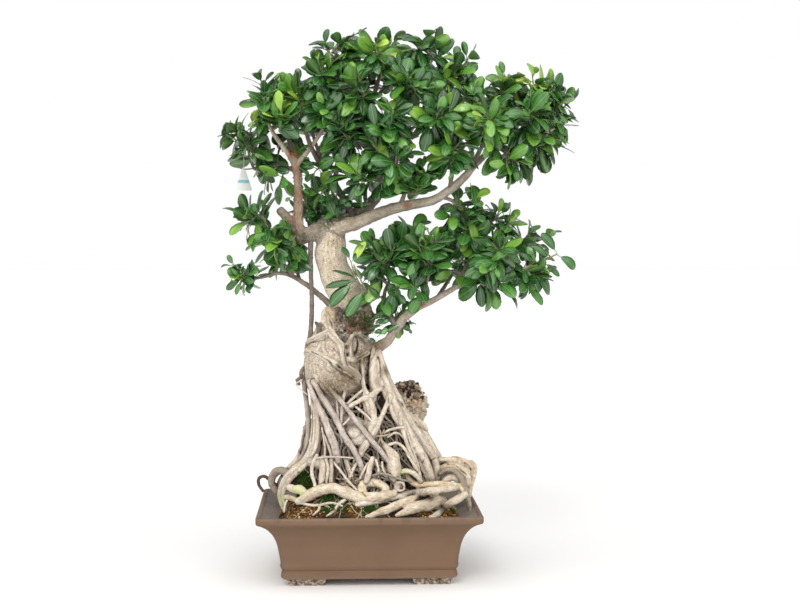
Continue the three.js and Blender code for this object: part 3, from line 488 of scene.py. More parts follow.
# Roots and trunk. A ficus trunk that was raised on its roots: a pale stem over a barrel-shaped stock,
# and below it legs, slanting props and a tangle of root that have grown together. Hidden ones are given
# in millimetres. Those that the photograph shows are given by the pixel where it shows them.
photo_width, photo_height = 800, 611
trunk_rows = {
    "trunk": [
        [-70, 0, 637, 27], [-68, 0, 610, 27.5], [-66, 2, 575, 28], [-51, 3, 536, 30], [-35, 4, 499, 36],
        [-29, 4, 471, 42]],
    "stock": [
        [-36, 4, 484, 33], [-42, 0, 457, 44], [-51, -2, 426, 57], [-55, -4, 390, 64], [-59, -4, 358, 59],
        [-57, 0, 334, 40]],
    "collar": [
        [-123, 0, 619, 11], [-99, 0, 630, 16], [-73, 0, 635, 21], [-49, -4, 645, 18], [-29, 0, 654, 13]],
}
hidden_rows = {
    "core": [[-42, 12, 356, 46], [-25, 18, 300, 48], [-7, 20, 244, 52], [4, 14, 189, 58], [6, 8, 150, 62]],
    "coreLeft": [
        [-76, 8, 352, 15], [-82, 12, 300, 19], [-86, 14, 250, 22], [-90, 12, 200, 26], [-92, 8, 150, 31]],
    "coreRight": [
        [20, 10, 350, 16], [34, 10, 300, 22], [54, 10, 250, 28], [76, 10, 200, 34], [90, 8, 150, 38]],
    "legLeftRear": [
        [-109, 12, 264, 7], [-126, 24, 215, 7], [-148, 36, 187, 6.5], [-166, 44, 158, 6], [-160, 56, 124, 5]],
    "cutStub": [[58, 34, 262, 18], [70, 42, 286, 27], [78, 44, 306, 31], [74, 46, 326, 25]],
    "stubLeg": [
        [76, 30, 280, 14], [98, 30, 261, 12], [113, 26, 239, 11], [131, 22, 206, 11], [145, 18, 166, 9]],
    "burlRear": [[130, 20, 183, 10], [158, 30, 186, 12], [178, 34, 160, 9], [168, 24, 128, 7]],
    "stockBackA": [[-100, 40, 440, 5], [-78, 56, 404, 6], [-40, 62, 372, 6], [-10, 52, 340, 6]],
    "stockBackB": [[-20, 44, 452, 6], [-50, 60, 420, 6], [-92, 48, 392, 6], [-112, 26, 352, 6]],
}
# Photo rows: the pixel across and down, the depth in millimetres (the viewer's side is minus), the radius.
leg_rows = {
    "legLeft": [
        [312, 382, -36, 8], [314, 400, -38, 8], [316, 420, -42, 9], [315, 440, -42, 9.5], [310, 455, -38, 9],
        [301, 465, -34, 9.5], [291, 475, -24, 10], [284, 485, -16, 10], [281, 495, -12, 9],
        [283, 505, -14, 7], [286, 513, -16, 5]],
    "legLeftOuter": [
        [304, 381, -20, 5], [306, 400, -24, 5], [308, 420, -28, 5.4], [308, 440, -26, 5],
        [304, 453, -20, 4.6], [297, 463, -12, 4.6], [290, 473, -6, 4.6], [286, 481, 0, 5]],
    "legA": [
        [361, 357, -56, 4.5], [362, 368, -60, 4.5], [363, 380, -62, 4.8], [365, 390, -62, 5.8],
        [369, 398, -62, 8.5], [372, 408, -62, 10], [373, 418, -62, 9.5], [371, 426, -62, 8],
        [367, 434, -62, 6], [361, 441, -60, 5], [353, 446, -58, 4.5]],
    "legAFork": [
        [374, 420, -58, 6], [377, 431, -58, 5.4], [380, 441, -58, 5.4], [386, 448, -60, 7],
        [392, 456, -62, 11.5], [394, 465, -64, 13], [394, 474, -62, 12], [398, 482, -58, 8]],
    "knobMass": [[346, 433, -46, 9], [352, 433, -52, 13], [359, 433, -52, 13], [365, 431, -48, 10]],
    "knobAbove": [[345, 420, -44, 9], [352, 420, -48, 10], [360, 423, -48, 9], [367, 428, -48, 8]],
    "knobArm": [[344, 440, -52, 5], [352, 442, -58, 6], [360, 440, -60, 6], [367, 434, -60, 5]],
    "knobFoot": [
        [374, 434, -62, 6], [368, 442, -62, 7], [362, 450, -60, 7], [357, 458, -56, 6], [354, 466, -50, 5]],
    "leftLump": [[311, 462, -46, 8], [317, 463, -50, 9], [324, 462, -50, 7]],
    "postThick": [[324, 459, -54, 8], [324, 468, -56, 9], [323, 477, -56, 8], [321, 487, -56, 7]],
    "cavityPost": [[373, 458, -62, 5], [370, 466, -66, 5.6], [368, 475, -68, 6], [366, 482, -68, 5]],
    "legAInner": [[361, 392, -54, 4], [366, 404, -58, 5.4], [367, 415, -58, 5.4], [366, 428, -54, 4]],
    "legB": [
        [374, 347, -36, 6], [373, 357, -42, 6], [372, 369, -46, 7.5], [373, 380, -48, 8],
        [374, 390, -50, 7.5], [372, 400, -54, 7]],
    "legBMain": [
        [377, 346, -30, 8], [380, 360, -38, 9.5], [383, 375, -42, 10.5], [387, 389, -44, 11],
        [393, 402, -46, 11.5], [399, 415, -48, 11.5], [406, 428, -50, 10.5], [413, 442, -50, 11],
        [420, 455, -50, 11.5], [426, 467, -48, 11.5], [430, 477, -44, 10], [432, 488, -40, 7]],
    "legBOuter": [
        [377, 350, -20, 6], [383, 365, -28, 8.5], [388, 380, -30, 9.5], [395, 393, -32, 10],
        [401, 406, -34, 10.5], [407, 418, -34, 11], [414, 431, -32, 11], [421, 442, -28, 11],
        [428, 452, -22, 10.5], [434, 461, -14, 9.5]],
    "legC": [
        [401, 414, -56, 4.4], [403, 428, -60, 5.6], [407, 441, -62, 5.8], [411, 452, -62, 5.8],
        [416, 463, -62, 5], [419, 473, -60, 4.5], [421, 482, -58, 3.5]],
    "flap": [
        [409, 415, -18, 6], [416, 423, -16, 6.5], [423, 433, -14, 8], [430, 445, -12, 9], [435, 454, -8, 9]],
    "flapTip": [[413, 416, -14, 5.4], [419, 421, -14, 5.4], [424, 426, -14, 5], [427, 430, -14, 3.2]],
    "midBranch": [
        [390, 396, -54, 5.4], [387, 405, -60, 4.6], [383, 413, -62, 4.6], [380, 421, -64, 4.6],
        [376, 429, -64, 5.2], [371, 437, -64, 4.6], [365, 443, -62, 4], [359, 450, -60, 3.5]],
    "crossA": [
        [380, 389, -52, 4.5], [373, 394, -62, 5], [366, 397, -66, 4.6], [357, 402, -66, 4.5],
        [350, 406, -64, 4.2], [343, 411, -58, 3]],
    "propRight": [[435, 461, -24, 6.5], [437, 472, -26, 5.8], [437, 482, -28, 5.4], [438, 491, -30, 4]],
    "burlRight": [
        [430, 461, -6, 10], [440, 463, -4, 11.5], [449, 463, 0, 12], [458, 464, 4, 12.5], [466, 467, 8, 12],
        [470, 475, 8, 10], [469, 485, 4, 8], [468, 496, 0, 7]],
    "burlHorn": [[464, 467, 10, 9], [471, 464, 12, 8.5], [473, 469, 12, 8.5], [472, 477, 10, 8]],
    "burlBump": [[449, 463, 0, 9], [457, 460, 4, 8.5], [459, 466, -4, 9]],
    "burlLip": [
        [441, 468, -20, 6], [450, 466, -16, 7.5], [459, 468, -12, 7.5], [466, 475, -10, 7],
        [468, 484, -8, 6]],
    "arcRight": [
        [440, 474, -34, 4], [447, 469, -38, 4.8], [455, 471, -42, 5.2], [460, 477, -46, 5.2],
        [464, 485, -48, 5.2], [467, 494, -50, 5], [469, 503, -52, 4.5], [471, 512, -54, 3]],
    "arcInner": [
        [442, 487, -38, 5], [447, 479, -38, 7], [454, 477, -38, 7], [459, 483, -40, 5.6],
        [460, 492, -42, 4.4]],
    "curlLeft": [
        [287, 486, 22, 6], [288, 477, 26, 7], [284, 471, 30, 7.5], [277, 471, 34, 8], [272, 477, 36, 7.5],
        [272, 485, 34, 6.5], [277, 492, 32, 5]],
    "snake": [
        [298, 502, -54, 7], [304, 499, -58, 10], [312, 494, -60, 11], [320, 490, -62, 11.5],
        [329, 488, -64, 10], [338, 489.5, -66, 10], [346, 492, -68, 11], [354, 496, -70, 11],
        [363, 498, -72, 10.5], [373, 498, -74, 10], [384, 496, -74, 9], [394, 493, -72, 7]],
    "pretzel": [
        [361, 498, -70, 9], [362, 491, -66, 9.4], [364, 484.5, -60, 9.2], [372, 482.5, -58, 9],
        [380, 485, -60, 8.8], [386, 489, -64, 8.8], [383, 495, -70, 8], [376, 498, -74, 6]],
    "tanRoot": [
        [406, 475, -52, 4], [413, 483, -54, 5.4], [424, 485, -56, 5.8], [436, 484, -56, 5.6],
        [448, 484, -54, 5], [458, 486, -52, 5], [464, 492, -50, 4]],
    "greyRoot": [[434, 494, -58, 4], [441, 490, -58, 6.4], [449, 489, -58, 6.6], [456, 488, -56, 5]],
    "greenKnee": [[289, 487, -40, 6], [294, 489, -46, 8], [300, 490, -52, 8.6], [305, 493, -56, 6.5]],
    "mossMound": [
        [294, 483, -16, 8], [297, 477, -10, 8], [299, 474, -8, 7], [303, 480, -12, 11], [305, 487, -16, 13],
        [304, 495, -18, 13]],
    "pinkStub": [[286, 497, -38, 5], [292, 498, -44, 6], [298, 501, -50, 5]],
    "hollowStub": [[394, 474, -54, 6], [396, 481, -58, 7.4], [399, 486, -62, 8]],
    "hollowRing": [
        [404.5, 486, -72, 2.4], [403, 482.5, -71, 2.4], [399, 481.5, -70, 2.6], [395.5, 484, -70, 2.6],
        [396, 489, -71, 2.6], [400, 491, -72, 2.4], [404, 489.5, -72, 2.4], [404.5, 486, -72, 2.2]],
}
# These lie on the soil: the last two numbers are the height over the soil and the radius.
resting_rows = {
    "longUpper": [
        [356, 505, 3, 3.5], [362, 504, 4, 6], [372, 502, 5, 7], [385, 499, 6, 7.5], [400, 496, 7, 7.5],
        [415, 493, 8, 7], [430, 491, 8, 6.6], [439, 490, 8, 6]],
    "longLower": [
        [366, 517, 2, 3], [371, 516, 3, 5.6], [378, 513, 5, 7], [390, 509, 7, 8], [403, 503, 8, 8.6],
        [415, 499, 8, 8], [427, 496, 8, 6.5], [436, 493, 8, 5]],
    "cutRoot": [
        [396, 516, 2, 3.5], [404, 513, 4, 7], [414, 509, 7, 10], [425, 506, 9, 11.5], [436, 503, 10, 11.5],
        [443, 501, 10, 9.5]],
    "whiteRoot": [
        [430, 518, 2, 4], [437, 515, 4, 6], [444, 508, 5, 6], [452, 502, 7, 6.6], [460, 498, 9, 7],
        [465, 494, 11, 6]],
}
slender_rows = {
    "slantA": [
        [309, 381, -46, 4], [312, 392, -52, 4.6], [317, 403, -58, 5.2], [322, 414, -62, 5.8],
        [327, 425, -64, 6.4], [331, 436, -66, 6.8], [335, 446, -66, 6.8], [337, 454, -64, 6.4],
        [338, 461, -60, 4.6]],
    "slantB": [
        [314, 382, -50, 5.6], [319, 391, -54, 5.2], [325, 401, -58, 5.6], [331, 411, -60, 5.2],
        [337, 421, -62, 5.6], [343, 432, -64, 5.3], [349, 443, -66, 5.6], [355, 453, -66, 5.3],
        [360, 463, -64, 5.5], [364, 473, -60, 4.5], [367, 482, -56, 3.5]],
    "slantC": [
        [319, 376, -54, 3.8], [326, 384, -60, 4.1], [333, 392, -62, 3.9], [340, 400, -64, 4.2],
        [347, 409, -66, 3.9], [354, 418, -68, 4.2], [361, 427, -70, 4.3], [367, 435, -70, 4.6],
        [374, 443, -70, 4.4], [381, 451, -68, 4.4], [388, 460, -66, 4], [394, 469, -62, 3.4]],
    "uprightA": [
        [347, 382, -54, 3.2], [345, 391, -58, 3], [343, 400, -62, 3.2], [342, 411, -62, 2.9],
        [341, 422, -60, 2.9], [341, 432, -58, 2.6], [342, 442, -56, 2.2]],
    "uprightB": [
        [334, 384, -58, 2], [336, 396, -62, 2], [337, 406, -62, 2], [338, 416, -60, 1.9],
        [339, 425, -58, 1.6]],
    "crossB": [[363, 390, -60, 2.6], [356, 396, -64, 2.6], [350, 401, -64, 2.4], [344, 408, -60, 2]],
    "crossC": [[356, 407, -62, 2.2], [362, 412, -66, 2.3], [369, 418, -70, 2.2], [374, 424, -68, 1.8]],
    "crossD": [[342, 426, -64, 1.8], [348, 420, -66, 1.8], [352, 414, -64, 1.6]],
    "thinA": [[322, 428, -50, 2.2], [324, 438, -52, 2.2], [325, 450, -54, 2.2], [324, 464, -54, 2]],
    "thinB": [[325, 437, -52, 2], [329, 448, -54, 2.5], [332, 458, -54, 2.5], [333, 470, -52, 2]],
    "stickCross": [[317, 458, -62, 1.8], [328, 457, -68, 1.9], [340, 457, -72, 1.8], [353, 458, -70, 1.5]],
    "postA": [
        [317, 455, -52, 3], [313, 464, -54, 3.3], [312, 473, -56, 3.2], [314, 482, -58, 3.3],
        [316, 490, -60, 3]],
    "postB": [[326, 459, -62, 2.6], [328, 468, -66, 2.6], [327, 477, -68, 2.4], [326, 486, -66, 2]],
    "postC": [[331, 460, -56, 4], [331, 470, -58, 4.2], [331, 480, -60, 4], [331, 488, -60, 3.5]],
    "postD": [[325, 462, -52, 3], [326, 470, -54, 3], [327, 480, -54, 2.6]],
    "postE": [
        [334, 462, -56, 2.4], [340, 470, -62, 2.5], [346, 478, -66, 2.5], [352, 485, -68, 2.3],
        [357, 490, -70, 2]],
    "postF": [[345, 461, -54, 2], [348, 470, -58, 2.2], [350, 479, -60, 2]],
    "postG": [[356, 461, -54, 2], [352, 470, -58, 2.1], [349, 479, -60, 1.8]],
    "fanA": [
        [385, 446, -58, 2.4], [396, 443, -62, 2.6], [404, 448, -64, 2.6], [410, 457, -64, 2.4],
        [415, 468, -62, 2.2]],
    "fanB": [[388, 437, -56, 1.8], [394, 433, -60, 1.9], [400, 434, -60, 1.8], [403, 438, -58, 1.5]],
    "fanC": [[384, 433, -56, 2], [390, 430, -60, 2.2], [397, 428, -64, 2.2], [404, 427, -66, 1.8]],
    "fanD": [[398, 473, -60, 3.5], [407, 471, -64, 4.5], [415, 474, -64, 4.4], [421, 481, -60, 4]],
    "fanE": [[403, 446, -60, 2.4], [408, 455, -64, 2.6], [413, 463, -64, 2.6], [418, 471, -62, 2]],
    "redA": [[379, 428, -60, 1.6], [381, 436, -66, 1.8], [378, 444, -64, 1.6]],
    "redB": [[384, 430, -60, 1.5], [381, 438, -66, 1.7], [384, 446, -64, 1.5]],
    "redC": [[376, 436, -64, 1.4], [383, 436, -68, 1.6], [390, 434, -64, 1.4]],
    "hangA": [[347, 461, -62, 2.6], [349, 468, -66, 2.6], [352, 476, -66, 2.2]],
    "hangB": [[358, 462, -62, 2.4], [354, 468, -67, 2.4], [350, 477, -66, 2]],
    "hangC": [[368, 463, -64, 2], [364, 470, -68, 2.2], [360, 478, -68, 2]],
    "hangD": [[376, 460, -66, 2.2], [378, 467, -70, 2.2], [379, 474, -70, 2]],
    "hangE": [[382, 462, -66, 2], [383, 469, -70, 2], [387, 476, -68, 1.8]],
    "darkTwig": [
        [371, 476, -66, 1.8], [378, 474, -72, 1.9], [386, 474, -74, 1.9], [394, 477, -74, 1.9],
        [403, 480, -72, 1.8], [412, 482, -66, 1.5]],
    "hookLeft": [
        [276, 485, 40, 3], [270, 480, 44, 3.4], [264, 476, 46, 3.2], [259, 478, 46, 3.2], [259, 485, 44, 3.2],
        [263, 491, 42, 3]],
    "knotLoop": [[302, 380, -30, 1.6], [296, 384, -30, 1.4], [300, 389, -32, 1.4], [308, 395, -40, 1.4]],
    "knotA": [[303, 368, -16, 3], [301, 374, -18, 4], [303, 380, -20, 3.4]],
    "knotB": [[301, 377, -24, 3], [297, 380, -28, 3.4], [299, 384, -26, 3]],
    "frontThinA": [
        [300, 503, -62, 2.4], [310, 505, -70, 2.6], [320, 505, -76, 2.6], [332, 503, -78, 2.4],
        [342, 506, -82, 2]],
    "frontThinB": [[324, 504, -74, 2.4], [330, 509, -82, 2.6], [335, 512, -88, 2.4]],
    "frontThinC": [[345, 500, -72, 3.4], [338, 506, -80, 3.4], [333, 512, -88, 2.8], [327, 516, -96, 2]],
    "frontThinD": [[320, 505, -76, 2.4], [318, 511, -86, 2.4], [313, 515, -94, 1.8]],
    "frontThinE": [[288, 499, -40, 2], [285, 505, -44, 2.2], [284, 512, -50, 1.8]],
}
# Ridges grown over the stock: the pixel, how far the middle stands over the bark, and the radius. One whose
# pixel misses the bark is laid on the bark that is nearest at the depth of the given point.
ridge_rise, ridge_depth_point = 1.0, [-55, 0, 400]
ridge_rows = {
    "ridgeAerial": [
        [303, 349, 1, 3.4], [306, 345, 2, 4], [311, 341, 3, 4.4], [317, 338, 3, 4.4], [323, 335, 3, 4.6],
        [329, 331, 3, 5]],
    "ridgeEdge": [
        [302, 353, 0, 3], [307, 350, 0, 3.4], [314, 352, 0, 3.6], [321, 356, 0, 3.6], [328, 360, 0, 4],
        [335, 364, 1, 4]],
    "ridgeLower": [
        [335, 364, 1, 4], [341, 368, 2, 4.6], [348, 372, 2, 4.8], [355, 377, 3, 4.6], [361, 384, 2, 4]],
    "ridgeBand": [
        [329, 325, 2, 8], [332, 333, 3, 7.4], [336, 340, 4, 7], [341, 346, 4, 6.4], [343, 354, 4, 5.8],
        [344, 361, 3, 5.4], [348, 367, 3, 5], [354, 371, 3, 5], [359, 377, 3, 4.6], [363, 386, 2, 4]],
    "ridgeV": [[354, 330, 4, 4], [350, 338, 4, 3.8], [346, 345, 4, 3.8]],
    "ridgeOval": [[353, 333, 4, 4], [360, 335, 4, 4.4], [366, 341, 4, 4.4], [371, 347, 4, 4.6]],
    "ridgeOvalLow": [
        [373, 348, 4, 4.4], [367, 353, 3, 4.4], [360, 357, 2, 4.4], [353, 360, 2, 4.4], [348, 359, 2, 4]],
    "ridgeOvalIn": [[350, 343, 2, 4.6], [350, 351, 2, 5], [351, 357, 2, 4.4]],
    "ridgeSmallA": [[312, 349, 1, 2], [317, 350, 1, 2.2], [320, 345, 1, 2]],
    "ridgeSmallB": [[324, 340, 1, 2], [323, 347, 0.5, 2.2], [326, 354, 0, 2]],
    "ridgeKnob": [[316, 375, 1, 4], [318, 378, 2, 4.2], [317, 382, 1, 3.6]],
    "ridgeKnobB": [[328, 366, 0, 6], [333, 370, 0, 5]],
    "burl": [[326, 323, 3, 8], [327, 316, 4, 8.5], [330, 311, 4, 7.5]],
    "burlTop": [[331, 311, 5, 6], [335, 314, 5, 6.4], [335, 320, 4, 5.6]],
    "burlLow": [[329, 319, 5, 5.4], [331, 324, 4, 5], [334, 327, 3, 4.4]],
    "burlBits": [[317, 324, 3, 3.4], [321, 328, 3, 3.6], [319, 333, 3, 3]],
    "mossyCollar": [
        [339, 316, -1, 6], [347, 319, 0, 6], [355, 319, 0, 6.4], [363, 322, 0, 6.4], [368, 331, 0, 6]],
    "redBark": [[334, 328, 3, 3.6], [341, 326, 4, 3.8], [349, 329, 4, 3.4], [356, 331, 4, 3]],
}
# Cracks in the bark, as the pixels along them, and how wide and deep they are in millimetres. The bark is
# lowered along them and darkened there with painted shade.
cracks = [
    [[302, 349], [305, 347], [311, 343], [318, 341], [326, 339]],
    [[311, 352], [318, 355], [325, 359], [332, 363]], [[336, 364], [342, 369], [348, 373], [355, 378]],
    [[333, 348], [336, 351], [340, 356]], [[345, 347], [345, 353], [346, 359], [348, 365]],
    [[357, 338], [358, 344], [357, 349], [355, 354]], [[356, 337], [358, 341], [358, 347], [356, 353]],
    [[357, 336], [361, 338], [364, 342], [368, 346]], [[371, 349], [367, 353], [362, 356], [358, 359]],
    [[329, 362], [333, 367], [338, 371], [344, 376]], [[378, 357], [380, 365], [380, 373], [381, 381]],
    [[383, 364], [386, 372], [388, 379]], [[383, 385], [385, 391], [388, 397], [389, 403]],
    [[395, 398], [400, 402], [404, 406]], [[375, 346], [376, 351], [374, 356], [371, 360]],
    [[424, 451], [425, 457], [422, 463]], [[465, 463], [469, 466], [471, 470]],
    [[457, 466], [462, 471], [467, 475]], [[329, 318], [331, 322], [332, 326]], [[402, 419], [404, 426]],
    [[340, 331], [343, 335], [343, 340]], [[336, 332], [340, 338], [344, 342]],
    [[441, 465], [445, 463], [449, 464]], [[362, 492], [366, 496]], [[377, 489], [374, 485], [372, 481]],
    [[339, 330], [347, 331], [352, 333]], [[316, 377], [319, 379]],
    [[312, 395], [312, 410], [312, 428], [311, 442]],
    [[406, 430], [409, 441], [413, 452], [417, 463], [420, 472]], [[415, 422], [420, 427], [427, 431]]]
crack_reach, crack_depth, crack_step = 2.8, 2.4, 0.7
crack_search, crack_wave = 14 * MM, 12 * MM
# Hollows between the ridges and legs, lowered and darkened with painted shade: the pixel, and the radius in
# millimetres.
shaded_hollows = [
    [342, 333, 6], [345, 337, 5.5], [343, 340, 4], [354, 339, 2.6], [357, 343, 3.2], [357, 348, 3.4],
    [355, 352, 2.8], [338, 368, 3.4], [342, 371, 4.6], [346, 374, 4], [366, 363, 3.6], [366, 369, 4.6],
    [366, 376, 4.8], [366, 383, 4.8], [351, 379, 4], [355, 385, 4.6], [371, 344, 3], [400.5, 486.5, 6],
    [334, 348, 2.4], [318, 339, 2], [397, 396, 2.6], [417, 398, 4], [404, 388, 5], [398, 384, 5],
    [413, 406, 4], [420, 403, 4], [409, 397, 3.6]]
# Lumps of rough bark in the collar over the stock, as the pixels at the corners of their patch.
collar_lumps = {"count": 46, "from": (336, 311), "to": (373, 333), "proud": (-1, 3.5), "radii": (2.4, 5.5)}
# Legs at the back, which the photograph doesn't show, spread round the stock.
rear_legs = {
    "count": 8,
    "first_angle": 8,
    "last_angle": 172,
    "angle_spread": 9,
    "turn_spread": 0.3,
    "centre": (-14, 8),
    "least_thickness": 7.7,
    "thickness_spread": 5.5,
    "levels": [
        (47, 47, 372, -36, 1.0), (61, 56, 292, -10, 1.1), (81, 67, 210, 10, 0.9), (118, 82, 0, 18, 0.6)],
}


def sight_line(across, down):
    """The direction in which the camera sees a pixel of the photograph."""
    pixel_lens = camera_data.lens / camera_data.sensor_width * photo_width
    towards = Vector(((across - photo_width / 2) / pixel_lens, (photo_height / 2 - down) / pixel_lens, -1))
    return np.array(camera.rotation_euler.to_matrix() @ towards)


def seen(rows):
    """Photo rows of pixel, depth and radius, as millimetre rows."""
    start = (camera_place - pot_middle) / MM
    made = []
    for across, down, depth, radius in rows:
        towards = sight_line(across, down)
        made.append([*(start + towards * (depth - start[1]) / towards[1]), radius])
    return made


def resting(rows):
    """Photo rows of pixel, height over the soil and radius, as millimetre rows."""
    made = []
    for across, down, height, radius in rows:
        depths = np.arange(-mound_half_depth, 0, 0.5)
        line = np.array(seen([[across, down, depth, radius] for depth in depths]))
        over = [z - mound_height(x, y) - height for x, y, z, _ in line]
        made.append(line[int(np.argmax(np.array(over) < 0))])
    return made


def seen_on(surface, across, down):
    """The spot and normal of a surface that the camera sees at a pixel, and its direction."""
    towards = Vector(sight_line(across, down)).normalized()
    return *surface.ray_cast(Vector(camera_place), towards)[:2], towards


def laid_on(bark_surface, rows):
    """Photo rows of pixel, standing over the bark and radius, as millimetre rows."""
    made = []
    for across, down, proud, radius in rows:
        spot, normal, towards = seen_on(bark_surface, across, down)
        if spot is None:
            depth = (Vector(placed(ridge_depth_point)) - Vector(camera_place)).length
            spot, normal, _, _ = bark_surface.find_nearest(Vector(camera_place) + towards * depth)
        spot = (np.array(spot) - pot_middle) / MM
        made.append([*(spot + np.array(normal) * (proud + ridge_rise)), radius])
    return made


def chance(a, b, c):
    """The repeatable draw between 0 and 1 that spreads the rear legs."""
    wave = math.sin(a * 127.1 + b * 311.7 + c * 74.7) * 43758.5453
    return wave - math.floor(wave)


def rear_leg(index):
    """The rows of one hidden leg, from the stock down to the soil."""
    share = index / (rear_legs["count"] - 1)
    degrees = rear_legs["first_angle"] + share * (rear_legs["last_angle"] - rear_legs["first_angle"])
    degrees += rear_legs["angle_spread"] * (chance(index, 3, 1) - 0.5)
    thickness = rear_legs["least_thickness"] + rear_legs["thickness_spread"] * chance(index, 5, 4)
    rows = []
    for half_length, half_depth, z, shift, thick in rear_legs["levels"]:
        turned = math.radians(degrees) + rear_legs["turn_spread"] * (chance(index, z, 2) - 0.5)
        x = rear_legs["centre"][0] + shift + math.cos(turned) * half_length
        y = rear_legs["centre"][1] + math.sin(turned) * half_depth
        rows.append([x, y, z if z else mound_height(x, y) - 4, thickness * thick])
    return rows


def unit(vectors):
    """Vectors at the length of one."""
    return vectors / np.maximum(np.linalg.norm(vectors, axis=-1, keepdims=True), 1e-9)


def route(rows, step, wobble=0.0):
    """Points and radii a step apart on the smooth line through given rows, which may waver."""
    rows = np.array(rows, float)
    line = smooth_line(rows, lambda b, c: max(2, round(np.linalg.norm((c - b)[:3]) / step)))
    line[:, 3] = np.maximum(line[:, 3], 0.4 * rows[:, 3].min())
    if wobble:
        shifts = [noise.noise_vector(Vector(p) / (5 * r + 12)) for *p, r in line]
        line[:, :3] += np.array(shifts) * wobble * line[:, 3:4]
    return line


def frames_along(line):
    """The direction, and two directions square to it that don't twist, at each point of a line."""
    along = unit(np.gradient(line[:, :3], axis=0))
    side = np.zeros_like(along)
    direction = np.array([0.35, 1.0, 0.1])
    for i, a in enumerate(along):
        direction = unit(direction - a * (direction @ a))
        side[i] = direction
    return along, side, np.cross(along, side)


def tube(line, sides, knobs=0.0, seed=0.0):
    """The placed skin of a limb with rounded ends, along a line of points and radii."""
    along, side, across = frames_along(line)
    first, last = line[0], line[-1]
    caps = [(0.92, 0.35), (0.6, 0.75)]
    rings, radii = [], []
    for shrink, reach in caps[::-1]:
        rings.append((first[:3] - along[0] * first[3] * reach, side[0], across[0]))
        radii.append(first[3] * shrink)
    for i in range(len(line)):
        rings.append((line[i, :3], side[i], across[i]))
        radii.append(line[i, 3])
    for shrink, reach in caps:
        rings.append((last[:3] + along[-1] * last[3] * reach, side[-1], across[-1]))
        radii.append(last[3] * shrink)
    angles = np.arange(sides) * 2 * math.pi / sides
    cos, sin = np.cos(angles)[:, None], np.sin(angles)[:, None]
    points = []
    for (centre, a, b), radius in zip(rings, radii):
        out = cos * a + sin * b
        swell = np.ones(sides)
        if knobs:
            scale, shift = 1 / max(radius * 1.3, 2.0), Vector((seed,) * 3)
            swell = [1 + knobs * noise.noise(Vector(centre + o * radius) * scale + shift) for o in out]
        points.append(centre + out * radius * np.array(swell)[:, None])
    return placed(np.vstack(points)), ring_faces(len(rings), sides)


def strands(rows, count, seed):
    """The fused strands that a thick root is made of, wound a little round its middle line."""
    line = route(rows, 9.0, 0.15)
    along, side, across = frames_along(line)
    draw = np.random.default_rng(seed)
    length = np.arange(len(line)) / len(line)
    made = []
    for k in range(count):
        angle = 2 * math.pi * (k + draw.uniform(-0.2, 0.2)) / count + draw.uniform(-1.2, 1.2) * length
        off = line[:, 3] * 0.5
        radius = line[:, 3] * (0.52 + 0.06 * np.sin(length * 9 + k * 2)) * draw.uniform(0.82, 1.1)
        centre = line[:, :3] + (np.cos(angle) * off)[:, None] * side + (np.sin(angle) * off)[:, None] * across
        made.append(np.hstack([centre, radius[:, None]]))
    return made


# Looks of the wood by name: how grey, lilac, dark and warm it is. The rest are a pale cream. The dark share
# is the bark's own colour on dark limbs, but on the three hidden cores it is painted shade, for the shadowed
# gap between the legs.
plain_look = (0.0, 0.0, 0.0, 0.0)
wood_looks = {
    "trunk": (0, 0, 0, 0.35), "stock": (0.42, 0.1, 0, 0.3), "collar": (0.75, 0, 0.1, 0),
    "slantA": (0.15, 0.5, 0, 0), "slantB": (0.2, 0.55, 0, 0), "slantC": (0.2, 0.55, 0, 0),
    "stickCross": (0.2, 0.5, 0, 0), "uprightA": (0.2, 0.5, 0, 0), "uprightB": (0.3, 0.5, 0, 0),
    "darkTwig": (0.6, 0.3, 0.3, 0), "hookLeft": (0.5, 0.4, 0.85, 0), "curlLeft": (0.5, 0, 0.3, 0.3),
    "cutStub": (0.1, 0.1, 0.15, 0.7), "core": (0.5, 0.2, 0.78, 0.2), "tanRoot": (0, 0, 0.05, 1),
    "burl": (0, 0, 0, 0.5), "legLeftOuter": (0.3, 0.3, 0.22, 0.3), "arcRight": (0.3, 0.1, 0.4, 0.3),
    "snake": (0, 0, 0, 0.35), "pretzel": (0, 0, 0, 0.7), "hollowRing": (0.1, 0.2, 0, 0),
    "cutRoot": (0, 0, 0, 0.3), "longLower": (0, 0, 0, 0.4), "mossyCollar": (0.8, 0.1, 0.45, 0),
    "redBark": (0.2, 0, 0.35, 1), "burlBits": (0.4, 0, 0.6, 0.5), "knotA": (0.4, 0, 0.6, 0.3),
    "knotB": (0.4, 0, 0.7, 0.3), "burlRight": (0, 0, 0, 0.6), "burlHorn": (0.05, 0, 0, 0.4),
    "burlBump": (0, 0, 0, 0.6), "burlLip": (0, 0, 0.05, 0.6), "flapTip": (0.1, 0, 0, 0.4),
    "lowLimb": (0.62, 0.15, 0.12, 0.1), "pinkStub": (0, 0.3, 0, 0.5), "burlTop": (0.1, 0, 0, 0.8),
    "burlLow": (0.1, 0, 0.1, 0.6), "coreLeft": (0.5, 0.2, 0.78, 0.2), "mossMound": (0.3, 0, 1, 0),
    "coreRight": (0.5, 0.2, 0.78, 0.2), "redA": (0.1, 0, 0.35, 0.8), "redB": (0.1, 0, 0.35, 0.8),
    "redC": (0.1, 0, 0.35, 0.8), "knobMass": (0.15, 0.2, 0, 0.1), "knobAbove": (0.2, 0.35, 0, 0),
    "knobArm": (0.1, 0.2, 0, 0), "knobFoot": (0.2, 0.2, 0, 0.2), "leftLump": (0.2, 0.4, 0, 0.2)}


